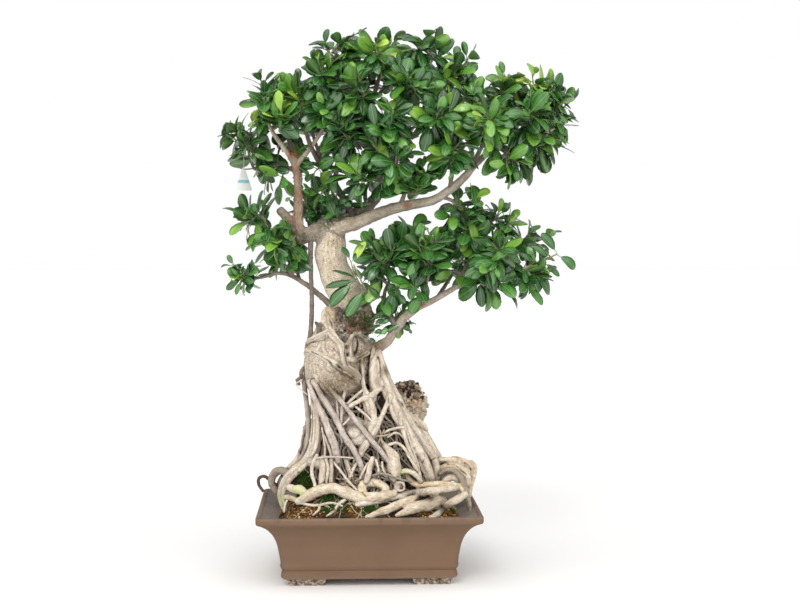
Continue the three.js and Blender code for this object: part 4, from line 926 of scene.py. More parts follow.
def fused(name, parts, voxel):
    """Grows overlapping tubes together into one skin with softened joins."""
    rough = mesh_piece(name + "_tubes", *joined(parts))
    remesh = rough.modifiers.new("grow_together", "REMESH")
    remesh.mode = "VOXEL"
    remesh.voxel_size = voxel
    soften = rough.modifiers.new("soften", "SMOOTH")
    soften.factor = 0.5
    soften.iterations = 3
    mesh = bpy.data.meshes.new_from_object(rough.evaluated_get(bpy.context.evaluated_depsgraph_get()))
    bpy.data.objects.remove(rough)
    points = np.zeros(len(mesh.vertices) * 3)
    mesh.vertices.foreach_get("co", points)
    corners = np.zeros(len(mesh.loops), int)
    mesh.loops.foreach_get("vertex_index", corners)
    bpy.data.meshes.remove(mesh)
    return outer_skins(points.reshape(-1, 3), corners.reshape(-1, 4))


def outer_skins(points, quads, least_size=0.012, most_rounds=600):
    """Leaves out sealed hollows, whose faces look inwards, and scraps."""
    label = np.arange(len(points))
    for _ in range(most_rounds):
        least = label[quads].min(axis=1)
        new = label.copy()
        np.minimum.at(new, quads.ravel(), np.repeat(least, 4))
        new = new[new]
        if np.array_equal(new, label):
            break
        label = new
    face_label = label[quads[:, 0]]
    kept = np.zeros(len(points), bool)
    for island in np.unique(label):
        faces = quads[face_label == island]
        inside = label == island
        a, b, c, d = (points[faces[:, k]] for k in range(4))
        volume = ((a * np.cross(b, c)).sum() + (a * np.cross(c, d)).sum()) / 6
        if volume > 0 and np.ptp(points[inside], axis=0).max() > least_size:
            kept |= inside
    index = np.cumsum(kept) - 1
    return points[kept], index[quads[kept[quads[:, 0]]]]


def vertex_normals(points, quads):
    """The direction that the skin faces at each point."""
    flat = np.cross(points[quads[:, 2]] - points[quads[:, 0]], points[quads[:, -1]] - points[quads[:, 1]])
    normals = np.zeros_like(points)
    for k in range(quads.shape[1]):
        for axis in range(3):
            normals[:, axis] += np.bincount(quads[:, k], flat[:, axis], len(points))
    return unit(normals)


def evened(values, quads, rounds):
    """Spreads values over a mesh so that one root's look runs gradually into the next."""
    values = np.asarray(values, float)
    columns = values.reshape(len(values), -1)
    count = np.bincount(quads.ravel(), minlength=len(values))[:, None]
    for _ in range(rounds):
        middle = columns[quads].mean(axis=1)
        total = np.zeros_like(columns)
        for k in range(quads.shape[1]):
            for axis in range(columns.shape[1]):
                total[:, axis] += np.bincount(quads[:, k], middle[:, axis], len(values))
        columns = total / count
    return columns.reshape(values.shape)


def search_tree(places, numbers):
    """A tree that finds the nearest of some places and gives its number."""
    tree = kdtree.KDTree(len(places))
    for place, number in zip(places, numbers):
        tree.insert(place, number)
    tree.balance()
    return tree


def limb_places(points, lines, wide=0.015):
    """For each point its place in the nearest limb's own frame, and that limb's look and thickness."""
    stations = []
    for number, (name, line) in enumerate(lines):
        along, side, across = frames_along(line)
        reach = np.concatenate([[0], np.cumsum(np.linalg.norm(np.diff(line[:, :3], axis=0), axis=1))])
        look = np.tile(wood_looks.get(name, plain_look), (len(line), 1))
        stations.append(np.hstack([line, along, side, across, reach[:, None] + number * 0.73, look]))
    stations = np.vstack(stations)
    trees = []
    for members, count in ((stations[:, 3] < wide, 7), (stations[:, 3] >= wide, 2)):
        trees.append((search_tree(stations[members, :3], np.flatnonzero(members)), count))
    chosen = []
    for p in points:
        near = [hit for tree, count in trees for hit in tree.find_n(p, count)]
        chosen.append(min(near, key=lambda hit: hit[2] - stations[hit[1], 3])[1])
    rows = stations[chosen]
    off = points - rows[:, :3]
    place = np.stack([(off * rows[:, 7:10]).sum(1), (off * rows[:, 10:13]).sum(1),
                      rows[:, 13] + (off * rows[:, 4:7]).sum(1)], axis=1)
    return place, rows[:, 14:18], rows[:, 3]


# The turn that spreads rays or leaves evenly, and how far over the skin a ray starts, in metres.
golden_turn, ray_lift = math.pi * (3 - 5 ** 0.5), 0.0007


def hidden_share(points, normals, blockers, reach, rays):
    """How much of the view from each point is blocked by wood or soil near by."""
    dome = []
    for i, h in enumerate((np.arange(rays) + 0.5) / rays * 0.9 + 0.1):
        side = math.sqrt(1 - h * h)
        dome.append((math.cos(golden_turn * i) * side, math.sin(golden_turn * i) * side, h))
    helper = np.where(np.abs(normals[:, :1]) < 0.7, [[1.0, 0, 0]], [[0, 1.0, 0]])
    first = unit(np.cross(normals, helper))
    second = np.cross(normals, first)
    starts = points + normals * ray_lift
    hits = np.zeros(len(points))
    for x, y, z in dome:
        aims = (first * x + second * y + normals * z).tolist()
        for i, (start, aim) in enumerate(zip(starts.tolist(), aims)):
            hit = blockers.ray_cast(start, aim, reach)
            if hit[3] is not None:
                hits[i] += 1 - 0.6 * hit[3] / reach
    return hits / rays


# The cores between the legs are fibrous: the darkness that it starts from, how fast it grows with it, and
# by how many millimetres the flutes are deeper there. Limbs of at least this radius have the full relief.
fibrous_from, fibre_gain, fibre_depth = 0.6, 4, 5.5
full_relief_radius = 0.014


def grown_bark(place, thickness, rough, fibrous):
    """Height of the bark: flutes along the limb, rings and knots across it, and crumbly patches."""
    heights = np.zeros(len(place))
    for i, ((x, y, z), radius, crumbly, fibre) in enumerate(zip(place, thickness, rough, fibrous)):
        flute = noise.noise(Vector((x * 150, y * 150, z * 16)))
        ring = noise.noise(Vector((x * 40, y * 40, z * 210)))
        lump = noise.noise(Vector((x * 60, y * 60, z * 60)))
        crumb = abs(noise.noise(Vector((x * 190, y * 190, z * 190)))) * 2 - 0.4
        size = min(1.0, radius / full_relief_radius)
        height = (1.0 + fibre_depth * fibre) * flute * size + 0.4 * ring * (0.4 + 0.6 * size)
        heights[i] = (height + 0.9 * lump * size + 3.0 * crumb * crumbly) * MM
    return heights


def aged_bark():
    """Living ficus bark: thin, smooth and dry, cream to grey, mottled every few millimetres, freckled
    with light and brown pores, darkened with painted shade in its creases, and green where it stays damp."""
    made, tree, shader = material("aged_bark", 0.8, 1.45, Specular_IOR_Level=0.3)
    place, look, marks, damp = [add(tree, "Attribute", output="Vector", attribute_name=name)
                                for name in ("limb_place", "wood_look", "marks", "moss_painted_shade_and_wounds")]
    warmth = add(tree, "Attribute", output="Fac", attribute_name="wood_warmth")
    greyness, lilac, dark_bark_and_core_shade = add(tree, "SeparateXYZ", {0: look}, output=None)
    young, freckles, stained = add(tree, "SeparateXYZ", {0: marks}, output=None)
    moss, crease_shade, wound = add(tree, "SeparateXYZ", {0: damp}, output=None)
    drawn_out = add(tree, "Mapping", {"Vector": place, "Scale": (1, 1, 0.22)})
    squeezed = add(tree, "Mapping", {"Vector": place, "Scale": (0.25, 0.25, 1)})
    cloud = add(tree, "TexNoise", {"Vector": place, "Scale": 38.0, "Detail": 5.0})
    mottle = add(tree, "TexNoise", {"Vector": place, "Scale": 210.0, "Detail": 4.0})
    tufts = add(tree, "TexNoise", {"Vector": place, "Scale": 160.0, "Detail": 3.0})
    grain = add(tree, "TexNoise", {"Vector": drawn_out, "Scale": 360.0, "Detail": 4.0})
    rings = add(tree, "TexNoise", {"Vector": squeezed, "Scale": 300.0, "Detail": 3.0})
    pore_gap, pore_colour = add(tree, "TexVoronoi", {"Vector": place, "Scale": 330.0}, output=None)[:2]
    pore_kind = add(tree, "SeparateXYZ", {0: pore_colour})
    pores = add(tree, "MapRange", {0: pore_gap, 1: 0.42, 2: 0.2})
    broken = add(tree, "Math", {0: mottle, 1: 0.45}, operation="ADD")
    # Painted shade: where nearby wood hides the view, broken up by the mottle, it gives the near-black
    # #231a14 below.
    freckled, soaked, broken_crease_shade, grown = [
        add(tree, "Math", {0: one, 1: other}, operation="MULTIPLY")
        for one, other in ((pores, freckles), (stained, mottle), (crease_shade, broken), (moss, tufts))]
    pale, dull, fibres, bands, soak, deep, green = [
        add(tree, "MapRange", {0: source, 1: start, 2: end, 4: most})
        for source, start, end, most in (
            (mottle, 0.52, 0.68, 0.24), (mottle, 0.47, 0.34, 0.28), (grain, 0.5, 0.7, 0.46),
            (rings, 0.57, 0.75, 0.35), (soaked, 0.1, 0.5, 0.85), (broken_crease_shade, 0.2, 0.64, 0.97),
            (grown, 0.28, 0.52, 0.75))]
    cream = add(tree, "ValToRGB", {0: cloud}, stops=[(0.3, "#c2b39f"), (0.48, "#d8cab7"), (0.66, "#e8ddcd")])
    tan = add(tree, "ValToRGB", {0: cloud}, stops=[(0.3, "#c4a67e"), (0.48, "#dfc9a6"), (0.68, "#f1e3c8")])
    grey = add(tree, "ValToRGB", {0: cloud}, stops=[(0.32, "#675b52"), (0.68, "#a3978b")])
    violet = add(tree, "ValToRGB", {0: cloud}, stops=[(0.32, "#a19594"), (0.68, "#d2c8c4")])
    dot = add(tree, "ValToRGB", {0: pore_kind}, stops=[(0.3, "#80654a"), (0.42, "#f4eee4")])
    tint = cream
    # The dark share is the bark's own colour on dark limbs and flakes, but painted shade on the hidden cores.
    for share, colour in (
            (warmth, tan), (greyness, grey), (lilac, violet), (pale, "#efe7da"), (dull, "#86735f"),
            (fibres, "#7c6a58"), (bands, "#8a7863"), (freckled, dot), (soak, "#6d5a3c"),
            (dark_bark_and_core_shade, "#34271f"), (young, "#ccd49a"), (deep, "#231a14"), (wound, "#9c5c38"),
            (green, "#434b2a")):
        tint = add(tree, "Mix", {0: share, 6: tint, 7: colour}, output=2, data_type="RGBA")
    link(tree, shader, "Base Color", tint)
    relief = add(tree, "Math", {0: grain, 1: rings}, operation="ADD")
    for source, share in ((mottle, 2.0), (pores, 0.6)):
        relief = add(tree, "Math", {0: source, 1: share, 2: relief}, operation="MULTIPLY_ADD")
    bump = add(tree, "Bump", {"Height": relief, "Strength": 0.8, "Distance": 0.0012})
    link(tree, shader, "Normal", bump)
    return made


# Damp or mossy patches, crumbly bark, wounds, young green and stains, as middle, radius and strength.
mossy_spots = [
    ([-26, -36, 472], 17, 1), ([-4, -36, 466], 19, 1), ([-74, -16, 648], 26, 1), ([-30, -14, 652], 24, 1),
    ([-118, -6, 622], 18, 1), ([12, -34, 448], 18, 1), ([-50, -24, 660], 20, 1)]
crumbly_spots = [
    ([-66, -44, 474], 18, 1), ([-20, -36, 468], 30, 1.5), ([84, 40, 320], 40, 1.7), ([70, 36, 290], 26, 1.2),
    ([-132, -12, 770], 26, 1.3), ([-128, -10, 730], 26, 1.1), ([-127, -8, 690], 26, 1.1),
    ([-127, -5, 650], 24, 1), ([-76, -8, 645], 34, 1), ([-112, 0, 626], 24, 1)]
wound_spots = [
    ([69, -49, 680], 9, 0.7), ([98, -52, 500], 6, 1), ([-134, -20, 776], 12, 1), ([-128, -12, 740], 26, 0.38),
    ([-127, -8, 700], 26, 0.38), ([-127, -8, 660], 26, 0.34), ([-61, -46, 463], 5, 0.8),
    ([-50, -48, 462], 6, 0.7), ([-34, -50, 457], 7, 0.6), ([-22, -50, 452], 5, 0.5), ([92, 20, 312], 12, 0.3),
    ([102, 20, 300], 9, 0.4)]
young_spots = [([-125, -50, 162], 16, 1), ([-154, -16, 140], 14, 1), ([64, -62, 196], 10, 1)]
stained_spots = [
    ([-42, -62, 372], 36, 1), ([-66, -60, 352], 30, 1), ([-18, -54, 404], 26, 1), ([-40, -56, 430], 18, 1),
    ([12, -46, 430], 22, 1), ([-4, -46, 452], 16, 1), ([-78, -52, 420], 12, 0.8), ([30, -44, 380], 12, 1),
    ([72, 20, 338], 16, 0.6), ([-26, -36, 466], 26, 1.2)]


def spot_share(points, spots):
    """How strong a kind of spot is at each point."""
    share = np.zeros(len(points))
    for middle, radius, strength in spots:
        distance = np.linalg.norm(points - placed(middle), axis=1)
        share = np.maximum(share, strength * np.clip(1.3 - distance / (radius * MM), 0, 1))
    return share


def crack_share(points, surface):
    """How near each point is to a crack or hollow, laid on the surface that the camera sees."""
    spots, reaches = [], []
    flat = [[*place, crack_reach] for crack in cracks
            for place in route([[across, down, 0, 1] for across, down in crack], crack_step)[:, :2]]
    for across, down, reach in flat + shaded_hollows:
        spot = seen_on(surface, across, down)[0]
        if spot is not None:
            spots.append(spot)
            reaches.append(reach)
    tree = search_tree(spots, range(len(spots)))
    share = np.zeros(len(points))
    for i, p in enumerate(points):
        for spot, number, gap in tree.find_n(p, 3):
            if gap < crack_search:
                drift = 1.0 + 0.35 * noise.noise(spot / crack_wave)
                share[i] = max(share[i], drift - gap / (reaches[number] * MM))
    return np.clip(share, 0, 1)


bark = aged_bark()
# How far wood near by darkens creases with painted shade, in metres, on thick and on slender roots, and
# how strongly on the latter. Pores thicken with a limb's radius, from the least share up.
crease_shade_reach, slender_shade_reach, slender_shade_strength = 0.026, 0.012, 0.6
least_freckles, freckle_from, freckle_span = 0.25, 0.012, 0.02


def dressed(made, place, look, points, crease_shade, hurt=0.0, freckles=least_freckles):
    """Stores what the bark material needs to know at each point, and finishes the piece."""
    vector_attribute(made, "limb_place", place)
    vector_attribute(made, "wood_look", look[:, :3])
    number_attribute(made, "wood_warmth", look[:, 3])
    young, stained, mossy, wounds = [
        spot_share(points, spots) for spots in (young_spots, stained_spots, mossy_spots, wound_spots)]
    freckled = np.full(len(points), freckles)
    vector_attribute(made, "marks", np.stack([young, freckled, stained], axis=1))
    vector_attribute(made, "moss_painted_shade_and_wounds", np.stack([mossy, crease_shade, np.maximum(wounds, hurt)], axis=1))
    return finish_piece(made, "bark", "wood")


def bark_piece(name, points, quads, lines, blockers, surface=None, rays=10):
    """A piece of wood with its bark relief, cracks, look and painted shade in its creases and cracks."""
    place, look, thickness = limb_places(points, lines)
    normals = vertex_normals(points, quads)
    cracked = evened(crack_share(points, surface), quads, 1) if surface else np.zeros(len(points))
    # Painted shade: how much nearby wood and soil hide each point, made darker still along the cracks.
    crease_shade = evened(hidden_share(points, normals, blockers, crease_shade_reach, rays), quads, 1)
    fibrous = np.clip(look[:, 2] * fibre_gain - fibrous_from * fibre_gain, 0, 1)
    heights = grown_bark(place, thickness, spot_share(points, crumbly_spots), fibrous)
    heights -= crack_depth * MM * cracked
    made = mesh_piece(name, points + normals * heights[:, None], quads, bark)
    freckles = np.clip((thickness - freckle_from) / freckle_span, least_freckles, 1.0)
    return dressed(made, place, evened(look, quads, 3), points, np.maximum(crease_shade, 0.9 * cracked),
                   freckles=freckles)


thick_ridge, thick_root, very_thick_root = 4.5, 9.2, 13


def strand_count(name, rows):
    """How many strands a root of this name and thickness is made of."""
    thickest = max(row[3] for row in rows)
    if name.startswith("ridge") and thickest > thick_ridge:
        return 3
    if name in plain_roots or "lump" in name or name == "lowLimb" or thickest < thick_root:
        return 1
    return 3 if thickest < very_thick_root else 5


# Roots that aren't made of strands. Then how finely roots are drawn, how much they waver, how knobbly they
# are, and the grain in metres with which each group grows together.
plain_roots = (
    "core", "coreLeft", "coreRight", "cutStub", "snake", "pretzel", "hollowRing", "mossMound", "burlRear",
    "cutRoot", "greenKnee", "legAFork", "knobMass", "knobAbove", "longLower", "longUpper")
root_step, root_wobble, root_sides, root_knobs = 6.0, 0.16, 14, 0.24
trunk_sides, trunk_knobs, trunk_seed = 28, 0.12, 90
root_voxels = {"trunk_and_stock": 0.0021, "root_legs": 0.0024, "surface_roots": 0.0018}
trunk_parts = [tube(route(rows, root_step), trunk_sides, trunk_knobs, trunk_seed + i)
               for i, rows in enumerate(trunk_rows.values())]
shell_points, shell_faces = joined(trunk_parts)
bark_surface = bvhtree.BVHTree.FromPolygons(shell_points.tolist(), shell_faces)
low_limb = [
    [-15, -22, 423, 13], [11, -30, 420, 10.8], [34, -36, 432, 9.6], [50, -42, 454, 8.4], [66, -46, 476, 7.2],
    [93, -50, 496, 6.2], [125, -52, 512, 5.6], [156, -52, 530, 5.1], [192, -50, 543, 4.6],
    [233, -45, 550, 4.0], [275, -40, 561, 3.5], [308, -35, 575, 2.8], [330, -32, 584, 2.4]]
# Roots at the front of the pot, which grow together into a piece of their own.
front_names = (
    "snake", "pretzel", "mossMound", "tanRoot", "greyRoot", "greenKnee", "pinkStub", "hollow", "arc", "burl",
    "propRight", "curlLeft")
groups = {"trunk_and_stock": {}, "root_legs": {}, "surface_roots": {}}
groups["trunk_and_stock"].update({name: laid_on(bark_surface, rows) for name, rows in ridge_rows.items()})
draw = np.random.default_rng(3)
for number in range(collar_lumps["count"]):
    spot = draw.uniform(collar_lumps["from"], collar_lumps["to"])
    size, proud = draw.uniform(*collar_lumps["radii"]), draw.uniform(*collar_lumps["proud"])
    aside = draw.normal(0, 2.2, 2)
    rows = [[*spot, proud, size], [*(spot + aside), proud + draw.uniform(-1, 2), size * 0.8]]
    groups["trunk_and_stock"][f"lump_{number}"] = laid_on(bark_surface, rows)
    grey, dark, warm = [draw.uniform(*span) for span in ((0.3, 1.0), (0.0, 0.75), (0.0, 0.8))]
    wood_looks[f"lump_{number}"] = (grey, 0.0, dark, warm)
groups["trunk_and_stock"]["lowLimb"] = low_limb[:7]
groups["root_legs"].update(hidden_rows)
groups["root_legs"].update({f"rear_leg_{i}": rear_leg(i) for i in range(rear_legs["count"])})
for name, rows in leg_rows.items():
    groups["surface_roots" if name.startswith(front_names) else "root_legs"][name] = seen(rows)
groups["surface_roots"].update({name: resting(rows) for name, rows in resting_rows.items()})
skins = {}
seed = 0
for group, members in groups.items():
    lines, parts = [], []
    if group == "trunk_and_stock":
        lines = [(name, placed(route(rows, root_step))) for name, rows in trunk_rows.items()]
        parts = list(trunk_parts)
    for name, rows in members.items():
        seed += 1
        count = strand_count(name, rows)
        bundle = [route(rows, root_step, root_wobble)] if count == 1 else strands(rows, count, seed)
        for line in bundle:
            lines.append((name, placed(line)))
            parts.append(tube(line, root_sides, root_knobs, seed))
    skins[group] = (*fused(group, parts, root_voxels[group]), lines)

# The slender props, and the tangle of rootlets that covers the hollow between the legs: how many there are,
# the share in front, the heights that they grow between, their radii and the cores that they creep over.
net = {"upright": 92, "crossing": 150, "front_share": 0.6, "top": 366, "bottom": 150, "radii": (0.9, 2.6)}
net_shares = {"core": 0.6, "coreRight": 0.25, "coreLeft": 0.15}
core_lines = [route(hidden_rows[name], 4.0) for name in net_shares]


def rootlet(draw, crossing):
    """One rootlet that creeps over the core between the legs, downwards or round it."""
    front = draw.random() < net["front_share"]
    core_line = core_lines[draw.choice(len(core_lines), p=list(net_shares.values()))]
    angle = draw.normal(-86, 40) if front else draw.uniform(0, 180)
    height = draw.uniform(net["bottom"] + 30, net["top"]) if crossing else draw.uniform(220, net["top"])
    turn = draw.choice([-1, 1]) * draw.uniform(3, 8) if crossing else draw.normal(0, 3.0)
    drop = draw.uniform(0.5, 6) if crossing else draw.uniform(5, 8)
    stand_off = draw.uniform(1, 16)
    radius = draw.uniform(*net["radii"]) * (0.8 if crossing else 1.0)
    rows = []
    for _ in range(draw.integers(6, 14) if crossing else 60):
        row = core_line[np.abs(core_line[:, 2] - height).argmin()]
        reach = row[3] + stand_off + draw.normal(0, 1.0)
        a = math.radians(angle)
        rows.append([row[0] + math.cos(a) * reach, row[1] + math.sin(a) * reach * 0.95, height, radius])
        turn = 0.8 * turn + draw.normal(0, 1.2 if crossing else 2.2) + (0.2 * turn if crossing else 0)
        angle += turn
        height -= drop + draw.normal(0, 1.2)
        if height < net["bottom"]:
            break
    return rows


# Rootlets that creep out over the soil: how many, how far out they start, as a share of the mound's half
# sizes, their radii, how many steps they take and how long each step is.
creepers = {"count": 70, "starts": (0.25, 0.6), "radii": (0.6, 1.5), "steps": (6, 14), "step": 8}
# A mat of straw-coloured feeding roots behind the arched front root, as the corners of its patch.
straw = {"count": 70, "from": (340, 479), "to": (380, 494), "reach": (9, 4), "depths": (-56, -48)}
wood_looks["straw"] = (0.0, 0.0, 0.12, 1.0)
# How finely each kind of slender root is drawn: its steps in millimetres and the sides of its section.
fineness = {"root": (4.0, 12), "rootlet": (6.0, 6), "creeper": (5.0, 6), "straw": (4.0, 5)}
slender_knobs, slender_seed = 0.3, 200
draw = np.random.default_rng(5)
slender_lines, slender_parts = [], []


def grow_slender(name, rows, step, sides, knobs=0.0, seed=0):
    """Adds one slender root to the others."""
    line = route(rows, step, 0.25)
    slender_lines.append((name, placed(line)))
    slender_parts.append(tube(line, sides, knobs, seed))


for number, (name, rows) in enumerate(slender_rows.items()):
    grow_slender(name, seen(rows), *fineness["root"], slender_knobs, slender_seed + number)
net_looks = {
    "net_cream": (0.2, 0.2, 0.08, 0.1), "net_lilac": (0.1, 0.5, 0, 0), "net_grey": (0.2, 0.3, 0, 0),
    "net_brown": (0.3, 0.1, 0.25, 0.3)}
wood_looks.update(net_looks)
for crossing, count in ((False, net["upright"]), (True, net["crossing"])):
    for _ in range(count):
        rows = rootlet(draw, crossing)
        if len(rows) > 3:
            grow_slender(draw.choice(list(net_looks)), rows, *fineness["rootlet"])
for _ in range(creepers["count"]):
    angle, reach = draw.uniform(0, 2 * math.pi), draw.uniform(*creepers["starts"])
    heading, bend = angle + draw.normal(0, 0.5), draw.normal(0, 0.08)
    x, y = math.cos(angle) * mound_half_length * reach, math.sin(angle) * mound_half_depth * reach
    radius, rows = draw.uniform(*creepers["radii"]), []
    for k in range(draw.integers(*creepers["steps"])):
        if abs(x) > mound_half_length - 6 or abs(y) > mound_half_depth - 6:
            break
        rows.append([x, y, mound_height(x, y) + draw.uniform(0.2, 2.4), radius * (1 - 0.04 * k)])
        x, y = x + creepers["step"] * math.cos(heading), y + creepers["step"] * math.sin(heading)
        heading += bend + draw.normal(0, 0.3)
    if len(rows) > 3:
        grow_slender("net_cream", rows, *fineness["creeper"])
for _ in range(straw["count"]):
    spot = draw.uniform(straw["from"], straw["to"])
    aside, depth = draw.uniform(-1, 1, 2) * straw["reach"], draw.uniform(*straw["depths"])
    middle, end = spot + aside * 0.5 + draw.normal(0, 0.8, 2), depth + draw.uniform(-3, 3)
    rows = [[*spot, depth, 0.9], [*middle, depth - 1, 1.1], [*(spot + aside), end, 0.8]]
    grow_slender("straw", seen(rows), *fineness["straw"])
slender_points, slender_faces = joined(slender_parts)


def quads_and_caps(faces):
    """The four-sided faces of joined tubes as an array, and their many-sided end faces as a list."""
    return np.array([f for f in faces if len(f) == 4]), [f for f in faces if len(f) != 4]


soil_bed = bpy.data.objects["soil_bed"]
soil_points = np.array([v.co for v in soil_bed.data.vertices])
soil_faces = [tuple(face.vertices) for face in soil_bed.data.polygons]
wood_points, wood_faces = joined([(points, quads.tolist()) for points, quads, _ in skins.values()])
surface = bvhtree.BVHTree.FromPolygons(wood_points.tolist(), wood_faces)
everything, every_face = joined([(wood_points, wood_faces), (slender_points, slender_faces),
                                 (soil_points, soil_faces)])
blockers = bvhtree.BVHTree.FromPolygons(everything.tolist(), every_face)
for group, (points, quads, lines) in skins.items():
    bark_piece(group, points, quads, lines, blockers, surface)


def tube_piece(name, parts, lines, blockers, rays):
    """Slender limbs or roots as they are, without growing together."""
    points, faces = joined(parts)
    quads, caps = quads_and_caps(faces)
    place, look, _ = limb_places(points, lines)
    crease_shade = np.zeros(len(points))
    if rays:
        normals = vertex_normals(points, quads)
        # Painted shade from the nearby wood, weaker than on the thick roots.
        crease_shade = slender_shade_strength * hidden_share(points, normals, blockers, slender_shade_reach, rays)
    return dressed(mesh_piece(name, points, quads.tolist() + caps, bark), place, look, points, crease_shade)


tube_piece("slender_roots", slender_parts, slender_lines, blockers, rays=8)


# Crumbs and flakes of bark: how many, their sizes in millimetres and the seed of their draws.
stub_crumbs = {"count": 560, "sizes": (1.8, 6.4), "seed": 31}
collar_crumbs = {"count": 260, "sizes": (1.3, 3.6), "seed": 37}


def bark_flakes(name, count, sizes, seed, cast, looks):
    """Crumbs and flakes of dead bark, on the places and with the looks that two functions pick."""
    draw = np.random.default_rng(seed)
    middles, tones = [], []
    while len(middles) < count:
        spot, normal = cast(draw)
        if spot is None:
            continue
        middles.append(np.array(spot) + np.array(normal) * draw.uniform(-1, 3.5) * MM)
        tones.append(looks(normal, draw))
    points, faces = crumbs(draw, np.array(middles), draw.uniform(*sizes, count) * MM)
    made = mesh_piece(name, points, faces, bark, smooth=False)
    tones = np.repeat(tones, len(crumb_corners), axis=0)
    return dressed(made, points, tones[:, :4], points, np.zeros(len(points)), hurt=tones[:, 4])


stub_middle, stub_span, stub_sides = [78, 46, 312], 60, 16
stub_points, stub_faces = tube(route(hidden_rows["cutStub"], root_step), stub_sides)
stub_skin = bvhtree.BVHTree.FromPolygons(stub_points.tolist(), stub_faces)
# Grey, lilac, dark, warm and red-brown shares of the flakes.
stub_flakes = [
    (0.1, 0, 0.05, 1, 0), (0, 0, 0, 0.7, 0), (0.1, 0.1, 0.3, 0.6, 0), (0, 0, 0.2, 0.8, 0.3),
    (0.1, 0, 0.7, 0.8, 0.1), (0, 0.2, 0, 0.5, 0), (0.1, 0.3, 0, 0.2, 0), (0, 0, 0, 1, 0)]
crust_flakes = [
    (0.3, 0, 0.8, 0.4, 0), (0.4, 0, 1, 0.2, 0), (0.1, 0, 0.5, 0.8, 0.25), (0.5, 0, 0.4, 0.2, 0)]
rim_flakes = [(0.1, 0, 0, 0, 0), (0, 0, 0, 0.2, 0), (0.2, 0.2, 0, 0, 0)]
collar_flakes = [
    (0.9, 0, 0.25, 0, 0), (0.7, 0, 0.6, 0.2, 0), (0.5, 0, 0, 0.3, 0), (1, 0, 0.4, 0, 0),
    (0.5, 0.1, 0.2, 0.2, 0), (0.3, 0, 0.4, 0.8, 0.2)]


def on_stub(draw):
    """Picks places all over the cut stub, more of them on the sides that show."""
    towards = unit(draw.normal(0, 1, 3) + np.array([0.3, -0.2, 0.2]))
    return stub_skin.find_nearest(Vector(placed(stub_middle) + towards * stub_span * MM))[:2]


def on_patch(corners, least_depth=None):
    """Picks places on the bark that the camera sees within a patch of the photograph."""
    def cast(draw):
        spot, normal, _ = seen_on(surface, *draw.uniform(*corners))
        if spot is None or least_depth is not None and spot.y < placed([0, least_depth, 0])[1]:
            return None, None
        return spot, normal
    return cast


def stub_look(normal, draw):
    """Dark crust on top of the stub, a pale rim on its right and red-brown flakes on the rest."""
    looks = crust_flakes if normal.z > 0.35 and draw.random() < 0.75 else stub_flakes
    if normal.z < 0.5 and normal.x > 0.6:
        looks = rim_flakes
    return looks[draw.integers(len(looks))]


def collar_look(normal, draw):
    return collar_flakes[draw.integers(len(collar_flakes))]


bark_flakes("bark_flakes", **stub_crumbs, cast=on_stub, looks=stub_look)
bark_flakes("collar_flakes", **collar_crumbs, cast=on_patch((collar_lumps["from"], collar_lumps["to"])),
            looks=collar_look)


